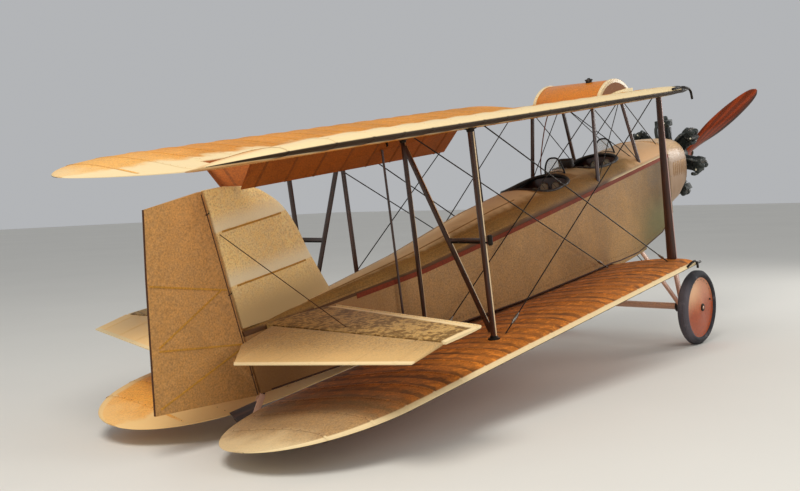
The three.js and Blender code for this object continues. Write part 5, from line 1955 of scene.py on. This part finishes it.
def fin_section(z, front, half):
    side = [[front + (fin_back(z) - front) * t, share * half, z] for t, share in FIN_OUTLINE]
    return [*side, *[[x, -y, height] for x, y, height in reversed(side)]]


def make_fin():
    start, reach, loss = FIN_TOP_TAPER
    rows = []
    for z, front in curve_through(FIN_ROWS, 5):
        rows.append(fin_section(z, front, FIN_HALF - loss * max(0, z - start) / reach))
    fin = level_piece("fin_skin", loft(rows), "fin", "tail_fabric", angle=30)
    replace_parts(fin, "fin")
    plates = []
    for z in (0.64, 1.13):
        at = np.array([rudder_line(z), 0, z])
        plates.append(hinge_eye(at, RUDDER_TOP - RUDDER_FOOT))
        plates.append(block(at + [0.03, 0, 0.003], (0.044, 0.014, 0.008)))
    level_piece("fin_hinge_plates", together(plates), "wire", "wire")


def rudder_half(x, z):
    """Half thickness of the rudder at a point."""
    tail = np.interp(z, RUDDER_BACK[:, 0], RUDDER_BACK[:, 1])
    post = rudder_line(z)
    share = np.clip((post - x) / (post - tail), 0, 1)
    return POST_RADIUS + (TRAILING_HALF - POST_RADIUS) * share


def fin_half(x, z):
    """Half thickness of the fin at a point."""
    front = np.interp(z, FIN_ROWS[:, 0], FIN_ROWS[:, 1])
    share = np.clip((x - front) / (fin_back(z) - front), 0, 1)
    return FIN_HALF * np.interp(share, FIN_OUTLINE[:, 0], FIN_OUTLINE[:, 1])


def upright_tapes(name, lines, half_at, body):
    """Tapes along straight lines on both faces of an upright surface."""
    shapes = []
    for start, end in lines:
        for _, sign in SIDES:
            line = [[x, sign * half_at(x, z), z] for x, z in np.linspace(start, end, 12)]
            shapes.append(ribbon(line, [0, sign, 0], TAIL_TAPE_WIDTH, TAPE_THICKNESS, TAPE_LIFT))
    level_piece(name, together(shapes), "ochre", "tail_fabric", body)


def make_rudder():
    """The rudder with its tapes and dark edges."""
    finished("rudder", "rudder", "rudder_skin", 35)
    ends = [
        ([-3.91, 0.673], [-4.422, 0.813]), ([-3.86, 0.33], [-4.428, 0.447]),
        ([-3.948, 0.682], [-4.425, 0.464]), ([-3.87, 0.306], [-4.478, 0.13]),
    ]
    upright_tapes("rudder_tapes", ends, rudder_half, "rudder_body")
    lines = []
    for _, sign in SIDES:
        lines.append([[rudder_line(z) - 0.004, sign * POST_RADIUS * 0.8, z] for z in (0.0, 1.25)])
    lines.append([[-4.521, 0, 0.107], [-4.478, 0, 0.47], [-4.43, 0, 0.86], [-4.377, 0, 1.23]])
    wires("rudder_edges", [stand(line) for line in lines], 0.0055, "seam", "rudder_body")


def tailplane_rim(name, sign):
    """A pale rounded edge round the front and the end of the tailplane, coloured as a painted highlight.
    """
    outline = [(-3.115, 0.06), (-3.33, 1.375), (-3.338, 1.393), (-3.356, 1.403), (-3.655, 1.403)]
    line = stand([[x, sign * y, TAILPLANE_Z] for x, y in outline])
    wires(f"tailplane_rim_{name}", [line], 0.007, "cream", sides=10)


def elevator_tapes(name, sign):
    """Tapes over the elevator's ribs."""
    shapes = []
    for y in np.linspace(0.3, 1.3, 5):
        back, radius = [np.interp(y, ELEVATOR_ROWS[:, 0], ELEVATOR_ROWS[:, c]) for c in (1, 2)]
        for side in (1, -1):
            line = []
            for share in (0.04, 0.5, 0.99):
                half = radius + (TRAILING_HALF - radius) * share
                x, z = swung(back * share, side * half, ELEVATOR_DROOP)
                line.append([ELEVATOR_HINGE_X + x, sign * y, TAILPLANE_Z + z])
            shapes.append(ribbon(line, [0, 0, side], dressing().tape_width, 0.001, 0.0003))
    level_piece(f"elevator_tapes_{name}", together(shapes), "elevator", "tail_fabric", "elevators")


def tail_wires():
    """Bracing from the fin to the tailplane."""
    lines = [
        stand([[-3.9, sign * 0.02, 1.0], [-3.585, sign * 0.63, TAILPLANE_Z + 0.012]]) for _,
        sign in SIDES]
    wires("tail_wires", lines, 0.0028, "seam")


def make_tail():
    make_fin()
    fin_lines = [([-3.25, 0.711], [-3.83, 0.679]), ([-3.4, 1.04], [-3.88, 1.013])]
    upright_tapes("fin_tapes", fin_lines, fin_half, "airframe")
    make_rudder()
    for name, sign in SIDES:
        finished(f"tailplane_{name}", "tailplane", angle=35)
        finished(f"elevator_{name}", "elevator", angle=35)
        tailplane_rim(name, sign)
        elevator_tapes(name, sign)
    tail_wires()


# Undercarriage

def smooth_ring(profile, steps):
    """A closed profile with rounded corners."""
    profile = np.asarray(profile, float)
    around = np.vstack([profile[-1:], profile, profile[:2]])
    line = curve_through(around, steps)[steps:-steps]
    line[-1] = line[0]
    return [tuple(point) for point in line]


def make_wheel(name, sign):
    """Tyre, covered wheel and treads of one main wheel."""
    centre = WHEEL_AT + [0, sign * WHEEL_TRACK / 2, 0]
    r, w = WHEEL_RADIUS, TYRE_WIDTH / 2
    rim = r - TYRE_DEPTH
    side = [(w * 0.3, r - 0.0012), (w * 0.72, r - 0.015), (w * 0.97, rim + 0.022), (w * 0.6, rim)]
    tyre = smooth_ring([*[(-along, radius) for along, radius in side[::-1]], *side], 5)
    body = f"{name}_wheel"
    rubber_ring = level_piece(
        f"tyre_rubber_{name}", turned(tyre, centre, (0, 1, 0), 96), "rubber", "tyre", body, angle=60)
    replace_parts(rubber_ring, f"tyre_{name}")
    half = [
        (w * 0.6 - 0.002, rim - 0.0003), (0.026, rim - 0.022), (0.031, rim - 0.047), (0.047, 0.048),
        (0.05, 0.042), (0.05, 0.0154)]
    cover = [*[(-along, radius) for along, radius in half[::-1]], *half]
    disc = level_piece(
        f"wheel_cover_{name}", turned([*cover, cover[0]], centre, (0, 1, 0), 96), "wheel", "wheel_disc",
        body, angle=25)
    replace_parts(disc, f"wheel_{name}")
    treads = []
    for y in (-0.018, 0.0, 0.018):
        band = washer(y - 0.0035, y + 0.0035, r - 0.003, r - 0.0004)
        treads.append(turned(band, centre, (0, 1, 0), 96))
    level_piece(f"tyre_ribs_{name}", together(treads), "rubber", "tyre", body)
    wheel_details(name, sign, centre, body)


def wheel_details(name, sign, centre, body):
    """Lacing round the cover, a valve and a hub ring."""
    spots = []
    radius = WHEEL_RADIUS - TYRE_DEPTH - 0.02
    for cosine, sine in zip(*circle(24)):
        place = centre + [radius * cosine, sign * 0.027, radius * sine]
        spots.append((stand(place), [0, sign, 0], (0.006, 0.006, 0.003)))
    planted(f"wheel_studs_{name}", spots, "steel", body)
    ring = [(0.0, 0.016), (0.0, 0.034), (0.006, 0.034), (0.01, 0.026), (0.01, 0.016), (0.0, 0.016)]
    valve = [(0.0, 0.0), (0.0, 0.011), (0.003, 0.011), (0.004, 0.005), (0.02, 0.004), (0.02, 0.0)]
    for kind, profile, at, segments in (
        ("hub_ring", ring, [0, sign * 0.0503, 0], 40),
        ("tyre_valve", valve, [0.19, sign * 0.031, 0.03], 20),
    ):
        shape = turned(profile, centre + at, (0, sign, 0), segments)
        level_piece(f"{kind}_{name}", shape, "wire", "steel", body)


def make_gear():
    """Axle, legs, wheels and springing."""
    finished("axle", "pale", bevel=0)
    for name, sign in SIDES:
        for place in ("front", "rear"):
            finished(f"{place}_leg_{name}", "pale", bevel=0)
        make_wheel(name, sign)
        bungee(name, sign)
        end = WHEEL_AT + [0, sign * (WHEEL_TRACK / 2 + 0.056), 0]
        ring = turned(washer(-0.003, 0.001, 0.0155, 0.024), end, (0, sign, 0), 32)
        level_piece(f"axle_washer_{name}", ring, "steel", "steel")
    cross = [stand([[0.72, sign * 0.6, -0.53], [1.1, -sign * 0.29, 0.16]]) for _, sign in SIDES]
    wires("gear_wires", cross, dressing().stay_radius, "wire")


def bungee(name, sign):
    """Rubber cord wound round the axle and the legs' feet."""
    turns = np.linspace(0, 2 * math.pi * 7, 150)
    y = sign * (WHEEL_TRACK / 2 - 0.19 + 0.055 * turns / turns[-1])
    coils = np.stack([WHEEL_AT[0] + 0.052 * np.cos(turns), y, WHEEL_AT[2] + 0.045 * np.sin(turns)], 1)
    level_piece(f"bungee_{name}", pipe(coils, 0.0042, 8), "leather", "tyre", angle=60)


def make_skid():
    """The tail skid's post, plate and shoe, with a strap round the post."""
    finished("tail_skid", "skid", bevel=0.0015)
    top, low = np.array([-3.722, 0, 0.03]), np.array([-3.89, 0, -0.19])
    axis, first, second = frame_of(low - top, (1, 0, 0))
    cosines, sines = circle(20)
    bands = []
    for share in (0.38, 0.72):
        at = top + share * (low - top)
        ring = cosines[:, None] * first * 0.0235 + sines[:, None] * second * 0.0125
        bands.append(loft([at + shift * axis + ring for shift in (-0.005, 0.005)]))
    level_piece("skid_straps", together(bands), "wire", "wire")
    sleeve = block(top + 0.55 * (low - top), (0.2, 0.0475, 0.0255), [axis, first, second])
    level_piece("skid_sleeve", sleeve, "pale", "dark_wood", bevel=0.004)


# Stage

CAMERA_AT = Vector((-6.5819, -4.5804, 1.4277))
CAMERA_AIM = Vector((0.2308, 1.283, 0.9712))
CAMERA_ROLL = math.radians(-1.98)
CAMERA_LENS = 44.94
FLOOR_REACH = 60


def facing_matrix(at, aim):
    """The place and the turn of a camera or a light that looks from one point at another."""
    turn = (Vector(aim) - Vector(at)).to_track_quat("-Z", "Y").to_matrix().to_4x4()
    return Matrix.Translation(at) @ turn


def make_camera():
    camera = new_object("camera", bpy.data.cameras.new("camera"))
    camera.data.lens = CAMERA_LENS
    camera.data.sensor_width = 36
    camera.data.clip_end = 200
    camera.matrix_world = facing_matrix(CAMERA_AT, CAMERA_AIM) @ Matrix.Rotation(CAMERA_ROLL, 4, "Z")
    bpy.context.scene.camera = camera


def make_light(name, at, aim, size, power, shade):
    data = bpy.data.lights.new(name, "AREA")
    data.shape = "DISK"
    data.size = size
    data.energy = power
    data.color = shade
    new_object(name, data).matrix_world = facing_matrix(at, aim)


def make_floor():
    paint = Paint("floor", level=False, Roughness=0.85)
    shade = tuple(bpy.context.scene.aeroplane_colours.floor)
    paint.set(Base_Color=paint.mix(tinted(shade, 0.96), shade, paint.noise(0.35)))
    reach = FLOOR_REACH
    corners = [(-reach, -reach, 0), (reach, -reach, 0), (reach, reach, 0), (-reach, reach, 0)]
    floor = object_from("floor", (corners, [(0, 1, 2, 3)]))
    floor.data.materials.append(paint.material)


def make_sky():
    world = bpy.data.worlds.new("studio")
    world.use_nodes = True
    background = world.node_tree.nodes["Background"]
    background.inputs["Color"].default_value = (0.9, 0.92, 0.95, 1)
    background.inputs["Strength"].default_value = 0.5
    bpy.context.scene.world = world
    bpy.context.scene.view_settings.view_transform = "Standard"


def make_stage():
    make_camera()
    make_floor()
    make_sky()
    make_light("key", (-7, -3, 9), (0, 0, 1), 5, 640, (1, 0.97, 0.92))
    make_light("side", (1, -9, 5), (0, 0, 1), 5, 150, (1, 0.96, 0.9))
    make_light("front", (9, -3, 4), (1, 0, 1), 3, 200, (1, 0.98, 0.95))


# Operators, one for each group of pieces

class AEROPLANE_OT_stage(bpy.types.Operator):
    """Set up the floor, the lights and the camera"""
    bl_idname = "aeroplane.stage"
    bl_label = "Stage"

    def execute(self, context):
        make_stage()
        return {"FINISHED"}


class AEROPLANE_OT_finishes(bpy.types.Operator):
    """Make the finishes and the trees that grow repeated things"""
    bl_idname = "aeroplane.finishes"
    bl_label = "Finishes"

    def execute(self, context):
        make_materials()
        make_trees()
        return {"FINISHED"}


class AEROPLANE_OT_wings(bpy.types.Operator):
    """Cover both folded wing cells and dress their struts, stays and ailerons"""
    bl_idname = "aeroplane.wings"
    bl_label = "Wings"

    def execute(self, context):
        for name, sign in SIDES:
            dress_wings(name, sign)
            dress_struts(name, sign)
            root_braces(name, sign)
            dress_aileron(name, sign)
        return {"FINISHED"}


class AEROPLANE_OT_fuselage(bpy.types.Operator):
    """Cover the fuselage and make its nose cowl"""
    bl_idname = "aeroplane.fuselage"
    bl_label = "Fuselage"

    def execute(self, context):
        make_fuselage()
        make_cowl()
        return {"FINISHED"}


class AEROPLANE_OT_cockpits(bpy.types.Operator):
    """Fit out both cockpits"""
    bl_idname = "aeroplane.cockpits"
    bl_label = "Cockpits"

    def execute(self, context):
        make_cockpits()
        return {"FINISHED"}


class AEROPLANE_OT_centre(bpy.types.Operator):
    """Finish the wing centre sections, the fuel tank and the cabane"""
    bl_idname = "aeroplane.centre"
    bl_label = "Centre section"

    def execute(self, context):
        make_centre()
        make_cabane()
        return {"FINISHED"}


class AEROPLANE_OT_engine(bpy.types.Operator):
    """Make the radial engine and the propeller"""
    bl_idname = "aeroplane.engine"
    bl_label = "Engine and propeller"

    def execute(self, context):
        make_engine()
        make_propeller()
        return {"FINISHED"}


class AEROPLANE_OT_tail(bpy.types.Operator):
    """Make the fin, the rudder, the tailplane and their bracing"""
    bl_idname = "aeroplane.tail"
    bl_label = "Tail"

    def execute(self, context):
        make_tail()
        return {"FINISHED"}


class AEROPLANE_OT_gear(bpy.types.Operator):
    """Make the wheels, the undercarriage and the tail skid"""
    bl_idname = "aeroplane.gear"
    bl_label = "Undercarriage"

    def execute(self, context):
        make_gear()
        make_skid()
        return {"FINISHED"}


class AEROPLANE_PT_panel(bpy.types.Panel):
    """Lists the sizes, the colours and the pieces"""
    bl_label = "Aeroplane"
    bl_idname = "AEROPLANE_PT_panel"
    bl_space_type = "VIEW_3D"
    bl_region_type = "UI"
    bl_category = "Aeroplane"

    def draw(self, context):
        layout = self.layout
        for group in (context.scene.aeroplane_sizes, context.scene.aeroplane_colours):
            box = layout.box()
            for key in group.__annotations__:
                box.prop(group, key)
        for operator in OPERATORS:
            layout.operator(operator.bl_idname)


OPERATORS = (
    AEROPLANE_OT_finishes, AEROPLANE_OT_stage, AEROPLANE_OT_wings, AEROPLANE_OT_fuselage,
    AEROPLANE_OT_cockpits, AEROPLANE_OT_centre, AEROPLANE_OT_engine, AEROPLANE_OT_tail, AEROPLANE_OT_gear,
)
CLASSES = (AeroplaneSizes, AeroplaneColours, *OPERATORS, AEROPLANE_PT_panel)


def register():
    for one in CLASSES:
        bpy.utils.register_class(one)
    bpy.types.Scene.aeroplane_sizes = bpy.props.PointerProperty(type=AeroplaneSizes)
    bpy.types.Scene.aeroplane_colours = bpy.props.PointerProperty(type=AeroplaneColours)


def unregister():
    del bpy.types.Scene.aeroplane_colours
    del bpy.types.Scene.aeroplane_sizes
    for one in reversed(CLASSES):
        bpy.utils.unregister_class(one)


def main():
    register()
    bpy.ops.aeroplane.finishes()
    bpy.ops.aeroplane.stage()
    bpy.ops.aeroplane.wings()
    bpy.ops.aeroplane.fuselage()
    bpy.ops.aeroplane.cockpits()
    bpy.ops.aeroplane.centre()
    bpy.ops.aeroplane.engine()
    bpy.ops.aeroplane.tail()
    bpy.ops.aeroplane.gear()


if __name__ == "__main__":
    main()
